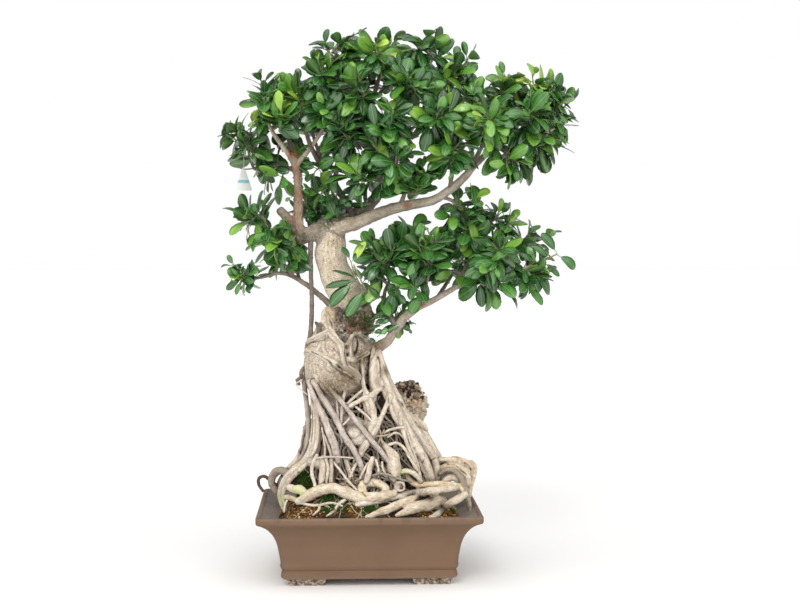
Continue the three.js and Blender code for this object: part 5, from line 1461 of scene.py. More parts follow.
# Branches. Grey-brown limbs out of the rough collar, each thinning to the twigs: a long bare one to
# the right, an upright on the left with its broken top, the leader, and the low limb off the stock.
limb_rows = {
    "collar": trunk_rows["collar"],
    "trunkTop": [[-69, 0, 600, 24], [-70, 0, 620, 26], [-70, 0, 637, 25]],
    "leftUpright": [
        [-118, 0, 619, 10], [-127, -5, 648, 9], [-127, -8, 689, 8.5], [-128, -10, 729, 8],
        [-136, -12, 769, 8]],
    "leftFork": [[-136, -12, 762, 6], [-154, -20, 785, 5], [-173, -30, 812, 4], [-182, -35, 835, 3]],
    "leftInner": [[-130, -12, 753, 5], [-110, -25, 776, 4.2], [-88, -40, 805, 3.5], [-75, -45, 827, 2.6]],
    "leftBack": [[-136, -12, 765, 5], [-144, 10, 800, 4.2], [-154, 40, 844, 3.4], [-149, 58, 876, 2.6]],
    "leftLow": [[-132, -10, 744, 4.5], [-163, 20, 755, 3.8], [-197, 36, 780, 3], [-238, 47, 806, 2.4]],
    "leftStub": [[-118, 0, 623, 10], [-140, 0, 648, 9], [-160, 0, 670, 8.5]],
    "rightLimb": [
        [-64, -10, 637, 18], [-42, -18, 643, 14], [-15, -25, 650, 12], [18, -32, 664, 11], [52, -38, 675, 10],
        [86, -42, 682, 9], [119, -45, 689, 8.5], [147, -48, 707, 8], [172, -50, 729, 7.5],
        [194, -48, 754, 6.5], [220, -45, 778, 5.5], [248, -35, 806, 4.6], [273, -25, 838, 3.6],
        [292, -20, 867, 2.8]],
    "rightTip": [[233, -40, 793, 4.4], [273, -50, 795, 3.8], [311, -55, 806, 3], [334, -55, 817, 2.4]],
    "rightFront": [[183, -50, 741, 4.8], [198, -76, 776, 4], [215, -90, 810, 3.2], [225, -96, 838, 2.6]],
    "rightBack": [[248, -35, 806, 4], [274, 20, 834, 3.6], [303, 55, 856, 3], [328, 72, 870, 2.4]],
    "midFront": [[147, -48, 707, 4.6], [149, -66, 744, 3.8], [144, -84, 782, 3.2], [149, -92, 817, 2.6]],
    "link": [[129, -45, 695, 3.6], [151, -50, 687, 3.2], [168, -54, 669, 2.8], [177, -55, 653, 2.2]],
    "centreFront": [[57, -38, 677, 4.4], [65, -60, 708, 3.8], [54, -82, 740, 3.2], [42, -94, 765, 2.6]],
    "leader": [
        [-51, 10, 643, 15], [-18, 20, 665, 13], [8, 28, 686, 11], [23, 30, 712, 9.5], [16, 25, 749, 8.5],
        [6, 20, 786, 7.5], [2, 15, 828, 6.5], [8, 10, 870, 5.2], [19, 10, 907, 4], [23, 10, 937, 3]],
    "leaderRight": [
        [23, 30, 709, 7.5], [62, 50, 732, 6.4], [110, 70, 767, 5.2], [155, 84, 802, 4.2],
        [189, 88, 829, 3.2]],
    "topRight": [
        [8, 20, 801, 5.6], [31, -8, 836, 5], [58, -28, 874, 4.2], [76, -38, 909, 3.4], [86, -40, 938, 2.6]],
    "topLeft": [[4, 16, 823, 4.8], [-24, 0, 858, 4.2], [-46, -15, 893, 3.6], [-59, -24, 925, 2.6]],
    "backRight": [[12, 25, 764, 5.4], [53, 60, 785, 4.6], [78, 86, 829, 3.8], [94, 96, 868, 2.8]],
    "backLeft": [[6, 20, 786, 4.8], [-23, 50, 803, 4.2], [-47, 78, 840, 3.6], [-63, 90, 875, 2.8]],
    "topBack": [[8, 10, 874, 4], [39, 40, 904, 3.2], [62, 60, 929, 2.6]],
    "shoulder": [[62, -28, 877, 3.4], [103, -38, 887, 3], [132, -40, 898, 2.4]],
    "darkLimb": [
        [-29, 10, 661, 8], [-42, 5, 689, 7], [-64, -5, 722, 6.4], [-84, -15, 751, 5.8], [-102, -30, 782, 4.8],
        [-115, -44, 818, 3.8], [-122, -46, 850, 2.8]],
    "darkFront": [[-64, -5, 722, 4.6], [-51, -38, 757, 3.8], [-42, -62, 791, 3.2], [-35, -72, 822, 2.6]],
    "darkBack": [[-84, -15, 751, 4.4], [-92, 26, 783, 3.6], [-104, 54, 823, 3], [-108, 64, 854, 2.6]],
    "lowLimb": low_limb[5:],
    "lowInner": [
        [50, -40, 459, 5.4], [36, -25, 484, 4.8], [29, -15, 513, 4.2], [38, -20, 542, 3.4],
        [47, -25, 568, 2.6]],
    "lowFront": [[93, -50, 496, 4.6], [99, -68, 525, 3.8], [106, -78, 554, 3], [111, -80, 576, 2.4]],
    "lowTop": [[156, -52, 530, 4.4], [176, -30, 564, 3.6], [196, -15, 597, 3], [211, -10, 626, 2.4]],
    "lowFar": [[192, -50, 543, 4], [217, -72, 572, 3.2], [230, -82, 594, 2.4]],
    "lowBack": [[233, -45, 550, 3.8], [262, -2, 575, 3.2], [280, 22, 599, 2.4]],
    "lowBehind": [[125, -52, 512, 4.6], [142, 0, 532, 3.8], [164, 38, 559, 3.2], [182, 54, 578, 2.4]],
    "leftLimb": [
        [-61, 20, 489, 7], [-85, 15, 511, 5.4], [-110, 8, 532, 4.8], [-136, 0, 549, 4.2],
        [-162, -5, 556, 3.6], [-191, -8, 549, 2.8], [-211, -8, 545, 2.2]],
    "leftLimbUp": [[-136, 0, 549, 3.4], [-154, -20, 575, 3], [-166, -30, 602, 2.6], [-177, -34, 626, 2.2]],
    "leftLimbBack": [[-125, 3, 541, 3.4], [-135, 28, 571, 3], [-151, 42, 597, 2.4]],
    "frontShoot": [[-15, -26, 498, 4.6], [-4, -44, 510, 3.6], [-5, -62, 525, 2.6]],
    "hangingRoot": [
        [-105, -4, 619, 5], [-105, -6, 560, 4.2], [-103, -6, 505, 4.2], [-105, -8, 454, 4.6],
        [-108, -12, 423, 7]],
}
for name in limb_rows:
    wood_looks.setdefault(name, (0.8, 0.0, 0.25, 0.0))
wood_looks.update({"rightLimb": (0.4, 0, 0, 0.2), "rightTip": (0.5, 0, 0.05, 0),
                   "leftUpright": (0.5, 0, 0.2, 0.5), "leftStub": (0.6, 0, 0.25, 0.3),
                   "leftFork": (0.45, 0, 0, 0.5), "leftInner": (0.45, 0, 0, 0.4),
                   "darkLimb": (1, 0, 0.4, 0), "hangingRoot": (0.9, 0.1, 0.4, 0.3)})
# Limbs thicker than this grow together, but for three that stand apart.
thick_limb, apart_limbs = 5.3, ("leftLimb", "hangingRoot", "lowLimb")
limb_step, thick_sides, thin_sides, limb_knobs, limb_seed, limb_voxel = 5.0, 16, 10, 0.2, 300, 0.0023
grown_lines, grown_parts, thin_lines, thin_parts = [], [], [], []
for number, (name, rows) in enumerate(limb_rows.items()):
    thick = max(row[3] for row in rows) > thick_limb and name not in apart_limbs
    line = route(rows, limb_step)
    (grown_lines if thick else thin_lines).append((name, placed(line)))
    skin = tube(line, thick_sides if thick else thin_sides, limb_knobs, limb_seed + number)
    (grown_parts if thick else thin_parts).append(skin)
limb_points, limb_quads = fused("limbs", grown_parts, limb_voxel)
limb_blockers = bvhtree.BVHTree.FromPolygons(limb_points.tolist(), limb_quads.tolist())
bark_piece("limbs", limb_points, limb_quads, grown_lines, limb_blockers, rays=6)
tube_piece("thin_limbs", thin_parts, thin_lines, limb_blockers, rays=0)


# Leafy shoots. Thin twigs off the limbs, each with leaves in a spiral round its ends and on short side
# shoots. A leaf is thick and leathery, 45 to 58 mm long, blunt at the tip and folded a little along
# its pale midrib. Young leaves at the ends are smaller and lime green.
twig_tips = {
    "crown_left": [
        [[-233, -6, 817], [-211, 14, 782]], [[-189, -44, 857], [-176, -16, 879]],
        [[-150, -14, 883], [-117, -40, 869]], [[-155, -80, 818]], [[-208, 34, 746], [-222, 66, 770]],
        [[-91, -78, 832], [-62, -60, 849]], [[-146, 82, 874], [-138, 52, 800]]],
    "crown_top": [
        [[-59, -22, 963], [-25, 10, 946]], [[-84, -48, 908], [-102, -28, 888]],
        [[24, 4, 972], [-1, -34, 932]], [[94, -34, 968], [126, -20, 937]], [[63, -82, 893], [105, -76, 874]],
        [[-9, -88, 874], [-37, -66, 895]], [[-47, 92, 891], [-9, 80, 912]], [[166, -6, 924], [144, -44, 900]],
        [[56, 88, 948], [102, 100, 907]]],
    "crown_right": [
        [[197, -60, 885], [167, -74, 858]], [[257, -8, 887], [231, -40, 869]],
        [[310, -24, 889], [335, -6, 872]], [[342, -18, 857], [326, -48, 821]], [[286, -88, 842]],
        [[219, -110, 833], [199, -106, 802]], [[306, -52, 781], [329, -20, 805]],
        [[249, -74, 772], [278, -40, 760]], [[296, 90, 849], [335, 70, 858]]],
    "crown_front": [
        [[29, -112, 815], [55, -94, 842]], [[-34, -96, 792], [-55, -86, 818]],
        [[96, -108, 809], [126, -88, 832]], [[143, -104, 774], [169, -82, 754]],
        [[43, -116, 748], [16, -104, 770]], [[-16, -88, 721], [-44, -62, 737]],
        [[101, -88, 718], [77, -74, 697]]],
    "crown_back": [
        [[145, 112, 851], [196, 84, 806]], [[-40, 104, 808], [-86, 86, 825]],
        [[34, 118, 847], [56, 96, 788]]],
    "low_right": [
        [[61, -44, 619], [83, -28, 641]], [[24, -66, 576], [-1, -50, 601]], [[94, -94, 587], [123, -82, 608]],
        [[-9, -88, 533], [-27, -84, 572]], [[138, -30, 564], [158, 36, 585]],
        [[184, -44, 615], [164, -58, 647]], [[224, -12, 648], [254, 0, 630]],
        [[232, -94, 594], [208, -90, 576]], [[290, 14, 619], [318, 30, 608]],
        [[320, -40, 597], [340, -30, 579]], [[206, -76, 536], [250, -60, 529]], [[287, -30, 550]],
        [[51, -14, 472]], [[195, 70, 574], [262, 46, 582]]],
    "low_left": [
        [[-220, -10, 641], [-194, -24, 659]], [[-171, -40, 619], [-142, -36, 604]],
        [[-143, -14, 575], [-164, 48, 597]], [[-216, -10, 556], [-229, -8, 542]],
        [[-85, 36, 668], [-126, 22, 664]]],
}
# The lines that twigs may grow from: the trunk and every limb but two.
bearing_lines = {"trunk": trunk_rows["trunk"], **limb_rows, "lowLimb": low_limb}
leafless_lines = ("trunkTop", "hangingRoot")
tag_loop = [-230, 44.9, 799.8]
growth_steps, twig_spacing, downward_cost, least_rise, tag_room = 6, 9, 0.6, 8, 14
twig_radius, twig_tip_radius, twig_arch = 2.3, 1.3, 0.08
twig_step, twig_sides, twig_knobs, twig_seed = 5.0, 7, 0.15, 400
leaf_length, leaf_half_width = 43.0, 12.4
petiole_length, leaf_thickness = 8.0, 0.55
# The two youngest leaves of a shoot are smaller than the rest, by these shares.
young_sizes = (0.6, 0.84)
box_room, bare_room, lime_share = 0.0012, 3.0, 0.5
crown_middle, crown_flatness = 40, 5
bare_lines = [route(rows, 6.0) for rows in (limb_rows["rightLimb"][1:9], limb_rows["leftUpright"],
                                            limb_rows["leftFork"][:3], limb_rows["leftInner"][:3])]
# What the leaves leave free in front of the tag: the middle and half size of a window, and how deep it is.
tag_window, tag_clearance = ((-230, 17), (736, 28)), 12
lime_spots = [
    ((179, 835), 24), ((28, 948), 22), ((300, 912), 34), ((-154, 858), 34), ((114, 624), 16),
    ((262, 896), 22), ((-212, 836), 20)]
growth_points = []
for name, rows in bearing_lines.items():
    rows = np.array(rows)[:, :3]
    if name not in leafless_lines:
        for a, b in zip(rows[:-1], rows[1:]):
            growth_points += [a + (b - a) * step / growth_steps for step in range(growth_steps)]
growth_points = [p for p in growth_points if np.linalg.norm(p - tag_loop) > tag_room]


def growth_point(tip, used):
    """Where a twig leaves its limb: the shortest way to its tip that doesn't grow downwards."""
    free = [p for p in growth_points if all(np.linalg.norm(p - u) >= twig_spacing for u in used)]
    costs = [np.linalg.norm(p - tip) + downward_cost * max(0, p[2] - tip[2] + least_rise) for p in free]
    return free[int(np.argmin(costs))]


def twig_route(start, tips):
    """The rows of a twig from its limb, over the nearer tip, to the farther one."""
    points = sorted((np.array(tip, float) for tip in tips), key=lambda p: np.linalg.norm(p - start))
    middle = start + (points[0] - start) / 2
    middle[2] += twig_arch * np.linalg.norm(points[0] - start)
    line = [start, middle, *points]
    radii = np.linspace(twig_radius, twig_tip_radius, len(line))
    return [[*p, r] for p, r in zip(line, radii)]


# A flat leaf: rows along it, as shares of its length and of its half width, and the points round its
# thin section, as shares across it and up from its middle.
leaf_rows = [
    (-1.0, 0.0), (0.0, 0.02), (0.08, 0.4), (0.25, 0.78), (0.47, 1.0), (0.7, 0.97), (0.87, 0.7), (0.97, 0.34),
    (1.0, 0.06)]
leaf_section = [(-1, 0.3), (-0.5, 1), (0, 1), (0.5, 1), (1, 0.3), (0, -1.3)]
leaf_faces = ring_faces(len(leaf_rows), len(leaf_section))


def leaf(base, direction, normal, size, draw, breadth=1.0):
    """The points of one leaf, and for each its place across and along and whether it is on top."""
    length = leaf_length * size
    half_width = leaf_half_width * breadth * size * draw.uniform(0.86, 1.14)
    arch = draw.uniform(0.15, 0.9)
    fold = draw.uniform(0.06, 0.34)
    twist = draw.normal(0, 0.22)
    wave, phase = draw.uniform(0.2, 1.0), draw.uniform(0, 6.28)
    direction = unit(direction)
    across = unit(np.cross(direction, normal))
    up = np.cross(across, direction)
    points, marks = [], []
    for t, width in leaf_rows:
        bent = max(t, 0.0) * arch
        reach = length * math.sin(bent) / arch if t > 0 else t * petiole_length
        drop = length * (1 - math.cos(bent)) / arch
        lift = direction * math.sin(bent) + up * math.cos(bent)
        centre = base + direction * (petiole_length + reach) - up * drop
        turn = twist * max(t, 0.0)
        right = across * math.cos(turn) + lift * math.sin(turn)
        above = lift * math.cos(turn) - across * math.sin(turn)
        half = half_width * width
        for u, level in leaf_section:
            if width < 0.06:
                side, high = u * 0.75, level * 0.7
            else:
                side = u * half * math.cos(fold)
                high = abs(u) * half * (math.sin(fold) - 0.10 * abs(u))
                high += wave * abs(u) * math.sin(7 * t + phase) + level * leaf_thickness / 2
            points.append(centre + right * side + above * high)
            marks.append((u * width if t >= 0 else 0.0, t, 1.0 if level > 0 else 0.0))
    return np.array(points), marks


def in_the_way(points):
    """Whether a leaf would leave the object's box, or hide a limb or the tag that the photograph shows."""
    spread = placed(points)
    if (spread < np.array(cad_box[0]) + box_room).any() or (spread > np.array(cad_box[1]) - box_room).any():
        return True
    for line in bare_lines:
        gaps = np.linalg.norm(points[:, None, ::2] - line[None, :, :3:2], axis=2) - line[:, 3]
        close = gaps.argmin(axis=1)
        if ((gaps.min(axis=1) < bare_room) & (points[:, 1] < line[close, 1])).any():
            return True
    across, up = tag_window
    hides = (np.abs(points[:, 0] - across[0]) < across[1]) & (np.abs(points[:, 2] - up[0]) < up[1])
    return bool((hides & (points[:, 1] < tag_loop[1] + tag_clearance)).any())


def leaf_shade(points, fresh, draw):
    """How light a leaf is: lime where the photograph shows young shoots, and otherwise a dark green."""
    middle = points.mean(axis=0)
    for (x, z), reach in lime_spots:
        if middle[1] < 10 and math.hypot(middle[0] - x, middle[2] - z) < reach:
            return draw.uniform(0.7, 0.98) if draw.random() < lime_share else draw.uniform(0.3, 0.66)
    if fresh:
        return draw.uniform(0.5, 0.8)
    return float(np.clip(draw.normal(0.36, 0.2), 0.0, 0.7))


def leaves_on(rows, count, spread, draw, bare=4.0, scale=1.0, lime=0.035):
    """A spiral of leaves down from the end of a twig, the youngest the smallest and steepest."""
    line = route(rows, 2.0)[:, :3][::-1]
    reach = np.concatenate([[0], np.cumsum(np.linalg.norm(np.diff(line, axis=0), axis=1))])
    start = draw.uniform(0, 2 * math.pi)
    made = []
    fresh = draw.random() < lime
    for i in range(count):
        back = min(bare + i * spread * draw.uniform(0.7, 1.3), reach[-1] * 0.97)
        k = min(int(np.searchsorted(reach, back)), len(line) - 2)
        axis = unit(line[max(k - 2, 0)] - line[min(k + 3, len(line) - 1)])
        helper = np.array([1.0, 0, 0]) if abs(axis[0]) < 0.8 else np.array([0, 1.0, 0])
        side = unit(np.cross(axis, helper))
        for attempt in range(5):
            turn = start + i * golden_turn + draw.normal(0, 0.3 + 0.5 * attempt)
            radial = side * math.cos(turn) + np.cross(axis, side) * math.sin(turn)
            tilt = math.radians(min(24 + 13 * i, 92) + draw.normal(0, 12))
            direction = axis * math.cos(tilt) + radial * math.sin(tilt) + draw.normal(0, 0.12, 3)
            outward = unit(np.array([line[k][0] - crown_middle, crown_flatness * line[k][1], 0.0]))
            normal = axis * 0.4 + outward * 0.5 + np.array([0, 0, 0.6]) + draw.normal(0, 0.34, 3)
            age = young_sizes[i] if i < len(young_sizes) else 1.0
            size = scale * draw.uniform(0.78, 1.15) * age * 0.93 ** attempt
            points, marks = leaf(line[k], direction, normal, size, draw)
            if not in_the_way(points):
                made.append((points, marks, leaf_shade(points, fresh and i < 4, draw)))
                break
    return made


def side_shoots(rows, draw, count):
    """Short leafy shoots off a twig, aimed outwards and upwards."""
    line = route(rows, 2.0)
    made = []
    for i in range(count):
        k = int(len(line) * (0.25 + 0.65 * (i + draw.uniform(0.2, 0.8)) / count))
        k = min(max(k, 1), len(line) - 2)
        axis = unit(line[k + 1, :3] - line[k - 1, :3])
        out = unit(draw.normal(0, 1, 3))
        out = unit(out - axis * (out @ axis) + 0.45 * axis + np.array([0, -0.1, 0.3]))
        length = draw.uniform(20, 42)
        start = line[k, :3]
        bend = unit(out + np.array([0, 0, 0.4]))
        middle, end = start + out * length * 0.5, start + (out + bend) * length / 2
        made.append([[*start, 1.4], [*middle, 1.2], [*end, 1.0]])
    return made


def leathery_leaf():
    """Ficus leaf: leathery and waxed on top, so it takes long soft highlights; the midrib is a thin pale
    line, the fine side veins show faintly, and the underside is lighter and matt."""
    made, tree, shader = material("leathery_leaf", 0.3, 1.45, Specular_IOR_Level=0.5, Coat_Weight=0.8,
                                  Coat_Roughness=0.12)
    mark = add(tree, "Attribute", attribute_name="leaf_place", output="Vector")
    tone = add(tree, "Attribute", attribute_name="leaf_tone", output="Fac")
    across, along, top = add(tree, "SeparateXYZ", {0: mark}, output=None)
    place = add(tree, "TexCoord", output="Object")
    mottle = add(tree, "TexNoise", {"Vector": place, "Scale": 110.0, "Detail": 3.0})
    varied = add(tree, "Math", {0: mottle, 1: 0.2, 2: tone}, operation="MULTIPLY_ADD")
    shifted = add(tree, "Math", {0: varied, 1: 0.1}, operation="SUBTRACT")
    upper = add(tree, "ValToRGB", {0: shifted}, stops=[
        (0.0, "#183a1b"), (0.3, "#2c6228"), (0.55, "#4f8c33"), (0.78, "#8bb93c"), (1.0, "#c6e05c")])
    lower = add(tree, "Mix", {0: 0.4, 6: upper, 7: "#86a768"}, data_type="RGBA", output=2)
    face = add(tree, "Mix", {0: top, 6: lower, 7: upper}, data_type="RGBA", output=2)
    off_middle = add(tree, "Math", {0: across}, operation="ABSOLUTE")
    rib = add(tree, "MapRange", {0: off_middle, 1: 0.085, 2: 0.02, 4: 0.38})
    ribbed = add(tree, "Mix", {0: rib, 6: face, 7: "#93b869"}, data_type="RGBA", output=2)
    slope = add(tree, "Math", {0: off_middle, 1: -0.28, 2: along}, operation="MULTIPLY_ADD")
    phase = add(tree, "Math", {0: slope, 1: 75.0}, operation="MULTIPLY")
    veins = add(tree, "Math", {0: phase}, operation="SINE")
    vein_share = add(tree, "MapRange", {0: veins, 1: 0.7, 2: 1.0, 4: 0.12})
    veined = add(tree, "Mix", {0: vein_share, 6: ribbed, 7: "#6d9c48"}, data_type="RGBA", output=2)
    link(tree, shader, "Base Color", veined)
    gloss = add(tree, "MapRange", {0: top, 3: 0.6, 4: 0.27})
    link(tree, shader, "Roughness", gloss)
    relief = add(tree, "Math", {0: veins, 1: rib}, operation="SUBTRACT")
    bump = add(tree, "Bump", {"Height": relief, "Strength": 0.25, "Distance": 0.0003})
    link(tree, shader, "Normal", bump)
    return made


def young_shoot():
    """Twig bark: grey-brown where it has turned woody, green towards the growing end."""
    made, tree, shader = material("young_shoot", 0.6, 1.45)
    age = add(tree, "Attribute", attribute_name="leaf_tone", output="Fac")
    place = add(tree, "TexCoord", output="Object")
    grain = add(tree, "TexNoise", {"Vector": place, "Scale": 420.0, "Detail": 3.0})
    woody = add(tree, "ValToRGB", {0: grain}, stops=[(0.3, "#64564a"), (0.7, "#9a8b79")])
    tint = add(tree, "Mix", {0: age, 6: woody, 7: "#7f9a4a"}, data_type="RGBA", output=2)
    link(tree, shader, "Base Color", tint)
    bump = add(tree, "Bump", {"Height": grain, "Strength": 0.5, "Distance": 0.0006})
    link(tree, shader, "Normal", bump)
    return made


leaf_material, shoot_material = leathery_leaf(), young_shoot()


def leafy_piece(name, twigs, leaves, *nodes):
    """One spray: its twigs, which turn green towards their ends, and its leaves in one piece."""
    parts = [tube(route(rows, twig_step), twig_sides, twig_knobs, twig_seed) for rows in twigs]
    green = [np.clip(np.linspace(-0.6, 0.9, len(points)), 0, 1) for points, _ in parts]
    twig_points = sum(len(points) for points, _ in parts)
    twig_face_count = sum(len(faces) for _, faces in parts)
    parts += [(placed(points), leaf_faces) for points, _, _ in leaves]
    points, faces = joined(parts)
    made = mesh_piece(name, points, faces, leaf_material, shoot_material)
    index = np.zeros(len(faces), np.int32)
    index[:twig_face_count] = 1
    made.data.polygons.foreach_set("material_index", index)
    marks = np.zeros((len(points), 3))
    tones = np.zeros(len(points))
    tones[:twig_points] = np.concatenate(green)
    marks[twig_points:] = np.concatenate([m for _, m, _ in leaves])
    tones[twig_points:] = np.repeat([t for _, _, t in leaves], len(leaf_rows) * len(leaf_section))
    vector_attribute(made, "leaf_place", marks)
    number_attribute(made, "leaf_tone", tones)
    return finish_piece(made, "leaf", *nodes)


# Leaves that the photograph shows apart from the rest: the pixels and depths of base and tip, and shade.
traced_leaves = {
    "low_right_spray_4": [
        [[356, 281, -72], [325, 285, -84], 0.24, 0.6], [[353, 282, -74], [328, 305, -88], 0.3, 0.85],
        [[364, 290, -74], [346, 316, -90], 0.34, 0.88], [[351, 263, -74], [365, 242, -82], 0.93, 0.8],
        [[357, 280, -72], [334, 265, -76], 0.16, 0.42], [[368, 283, -66], [378, 259, -72], 0.2, 0.5],
        [[352, 266, -72], [361, 276, -86], 0.14, 0.9], [[362, 284, -70], [370, 272, -78], 0.16, 0.8],
        [[351, 262, -72], [344, 247, -70], 0.3, 0.7], [[366, 284, -60], [380, 296, -70], 0.2, 0.6],
        [[358, 262, -60], [372, 252, -70], 0.24, 0.8], [[360, 274, -62], [374, 268, -66], 0.18, 0.8]],
    "low_right_spray_10": [
        [[557, 253, -36], [543, 233, -44], 0.3, 0.95], [[557, 255, -36], [578, 266, -44], 0.34, 0.85],
        [[543, 262, -38], [560, 274, -48], 0.3, 0.9], [[526, 268, -42], [542, 293, -52], 0.26, 1.0],
        [[549, 259, -38], [536, 246, -50], 0.36, 0.9], [[536, 265, -40], [524, 252, -50], 0.22, 1.0],
        [[528, 268, -42], [511, 282, -54], 0.3, 1.0], [[540, 263, -38], [548, 248, -30], 0.24, 0.9],
        [[530, 267, -40], [540, 278, -32], 0.2, 0.9], [[534, 266, -40], [530, 246, -36], 0.5, 1.0]],
}
# Leaves of the creeper on the left upright and on the foot of the low limb, and more hanging shoots.
added_leaves = {
    "crown_left_spray_1": [
        [[299, 150, -24], [306, 146, -26], 0.5, 1.2], [[300, 156, -24], [307, 158, -26], 0.4, 1.2],
        [[301, 162, -22], [309, 164, -24], 0.5, 1.2], [[300, 168, -22], [307, 173, -24], 0.42, 1.2],
        [[301, 175, -20], [309, 176, -22], 0.5, 1.2], [[300, 181, -20], [307, 187, -22], 0.4, 1.2],
        [[300, 188, -20], [308, 192, -22], 0.5, 1.2], [[294, 196, -20], [288, 199, -22], 0.5, 1.2]],
    "low_right_spray_13": [
        [[370, 334, -44], [380, 331, -48], 0.3, 1.1], [[377, 337, -46], [385, 330, -50], 0.5, 1.1],
        [[384, 335, -46], [391, 328, -50], 0.3, 1.1], [[372, 326, -40], [381, 320, -44], 0.25, 1.1],
        [[368, 330, -42], [377, 326, -46], 0.2, 1.1], [[388, 332, -48], [396, 326, -52], 0.4, 1.1],
        [[370, 321, -42], [378, 314, -46], 0.25, 1.1], [[379, 327, -44], [387, 320, -48], 0.3, 1.1],
        [[366, 336, -44], [373, 340, -50], 0.2, 1.1], [[375, 319, -40], [383, 312, -44], 0.3, 1.1]],
}
extra_twigs = {
    "low_right_spray_3": [
        [[98, -66, 520, 1.6], [84, -80, 528, 1.3], [74, -88, 538, 1.0]],
        [[104, -76, 548, 1.6], [88, -90, 554, 1.3], [78, -96, 566, 1.0]],
        [[108, -79, 566, 1.6], [96, -92, 580, 1.3], [90, -98, 590, 1.0]]],
    "low_right_spray_2": [
        [[38, -20, 545, 1.5], [22, -46, 546, 1.3], [12, -60, 552, 1.0]],
        [[34, -20, 530, 1.5], [46, -44, 528, 1.3], [52, -56, 520, 1.0]],
        [[30, -16, 515, 1.5], [14, -36, 512, 1.2], [8, -44, 520, 1.0]]],
    "low_right_spray_6": [
        [[177, -55, 655, 1.4], [190, -62, 668, 1.2], [204, -66, 672, 1.0]],
        [[168, -54, 669, 1.4], [150, -62, 662, 1.2], [140, -66, 650, 1.0]],
        [[170, -54, 666, 1.4], [184, -58, 684, 1.2], [188, -58, 698, 1.0]],
        [[160, -52, 678, 1.4], [156, -60, 696, 1.0]]],
    "crown_front_spray_6": [
        [[-64, -5, 722, 1.6], [-78, -22, 708, 1.3], [-86, -30, 700, 1.0]],
        [[-84, -15, 751, 1.6], [-96, -34, 740, 1.3], [-100, -42, 728, 1.0]],
        [[-53, -2, 706, 1.6], [-58, -24, 694, 1.3], [-56, -32, 682, 1.0]],
        [[-74, -9, 736, 1.6], [-60, -30, 740, 1.3], [-52, -40, 748, 1.0]]],
    "low_left_spray_5": [
        [[-42, 5, 689, 1.5], [-50, -14, 676, 1.3], [-60, -20, 668, 1.0]],
        [[-60, -3, 716, 1.5], [-82, 10, 704, 1.3], [-92, 16, 692, 1.0]]],
    "crown_left_spray_5": [
        [[-163, 20, 755, 1.6], [-176, 0, 744, 1.3], [-182, -8, 730, 1.0]],
        [[-150, 12, 750, 1.6], [-158, -4, 728, 1.3], [-162, -10, 714, 1.0]]],
}
# Leaves on the end of a twig, at its bend and on a side shoot: how many and how far apart they sit.
end_leaves, end_spread, bend_leaves, bend_spread = 9, 7.0, 7, 6.5
shoot_leaves, shoot_spread, shoot_scale = (6, 9), 5.0, 0.92
# Side shoots of a region or spray, and how large its leaves are, where they differ from the rest.
usual_shoots, first_spray_seed = 5, 1000
shoot_counts = {"low_left": 3, "low_right": 4, "low_right_spray_9": 2, "low_right_spray_11": 3}
leaf_scales = {"low_right_spray_13": 0.6, "low_left_spray_4": 0.8}
traced_twigs = {
    "low_right_spray_4": [
        [[366, 291, -60, 1.7], [360, 284, -68, 1.5], [354, 272, -72, 1.2], [351, 262, -74, 0.9]]],
    "low_right_spray_10": [
        [[520, 271, -42, 1.9], [532, 267, -40, 1.8], [545, 260, -38, 1.6], [557, 254, -36, 1.3]]],
}


def traced(base, tip, shade, breadth, draw):
    """One leaf between two pixels of the photograph, turned to face its viewer."""
    start, end = np.array(seen([[*base, 0], [*tip, 0]]))[:, :3]
    size = np.linalg.norm(end - start) / (leaf_length + petiole_length)
    points, marks = leaf(start, end - start, np.array([0.1, -0.8, 0.5]) + draw.normal(0, 0.1, 3),
                         size, draw, breadth)
    return points, marks, shade


used_points = []
for region, tip_list in twig_tips.items():
    for number, tips in enumerate(tip_list, 1):
        draw = np.random.default_rng(first_spray_seed + len(used_points))
        start = growth_point(np.array(tips[0], float), used_points)
        used_points.append(start)
        node = f"{region}_spray_{number}"
        rows = twig_route(start, tips)
        shoots = shoot_counts.get(node, shoot_counts.get(region, usual_shoots))
        scale = leaf_scales.get(node, 1.0)
        twigs = [rows, *side_shoots(rows, draw, shoots), *extra_twigs.get(node, [])]
        leaves = leaves_on(rows, end_leaves, end_spread * scale, draw, scale=scale)
        if len(tips) > 1:
            leaves += leaves_on(rows[:-1], bend_leaves, bend_spread, draw, scale=scale)
        for shoot in twigs[1:]:
            count = draw.integers(*shoot_leaves)
            leaves += leaves_on(shoot, count, shoot_spread * scale, draw, scale=shoot_scale * scale)
        if node in traced_leaves:
            twigs = [rows] + [seen(twig) for twig in traced_twigs[node]]
            leaves = [traced(*row, draw) for row in traced_leaves[node]]
        leaves += [traced(*row, draw) for row in added_leaves.get(node, [])]
        leafy_piece(f"{region}_leaves_{number}", twigs, leaves, node)


# Hang tag. A blank three-cornered card of coated paper with a plain pale band near its foot, on a white
# nylon thread that is looped round a twig.
tag_card = {"width": 31, "height": 40, "thickness": 1.0, "turn": 0.25, "corner": 3.0}
tag_band = {"middle": 17, "half": 3.2}
tag_loop_radius, tag_thread_radius, tag_thread_length, thread_sides = 5.2, 0.45, 46, 8


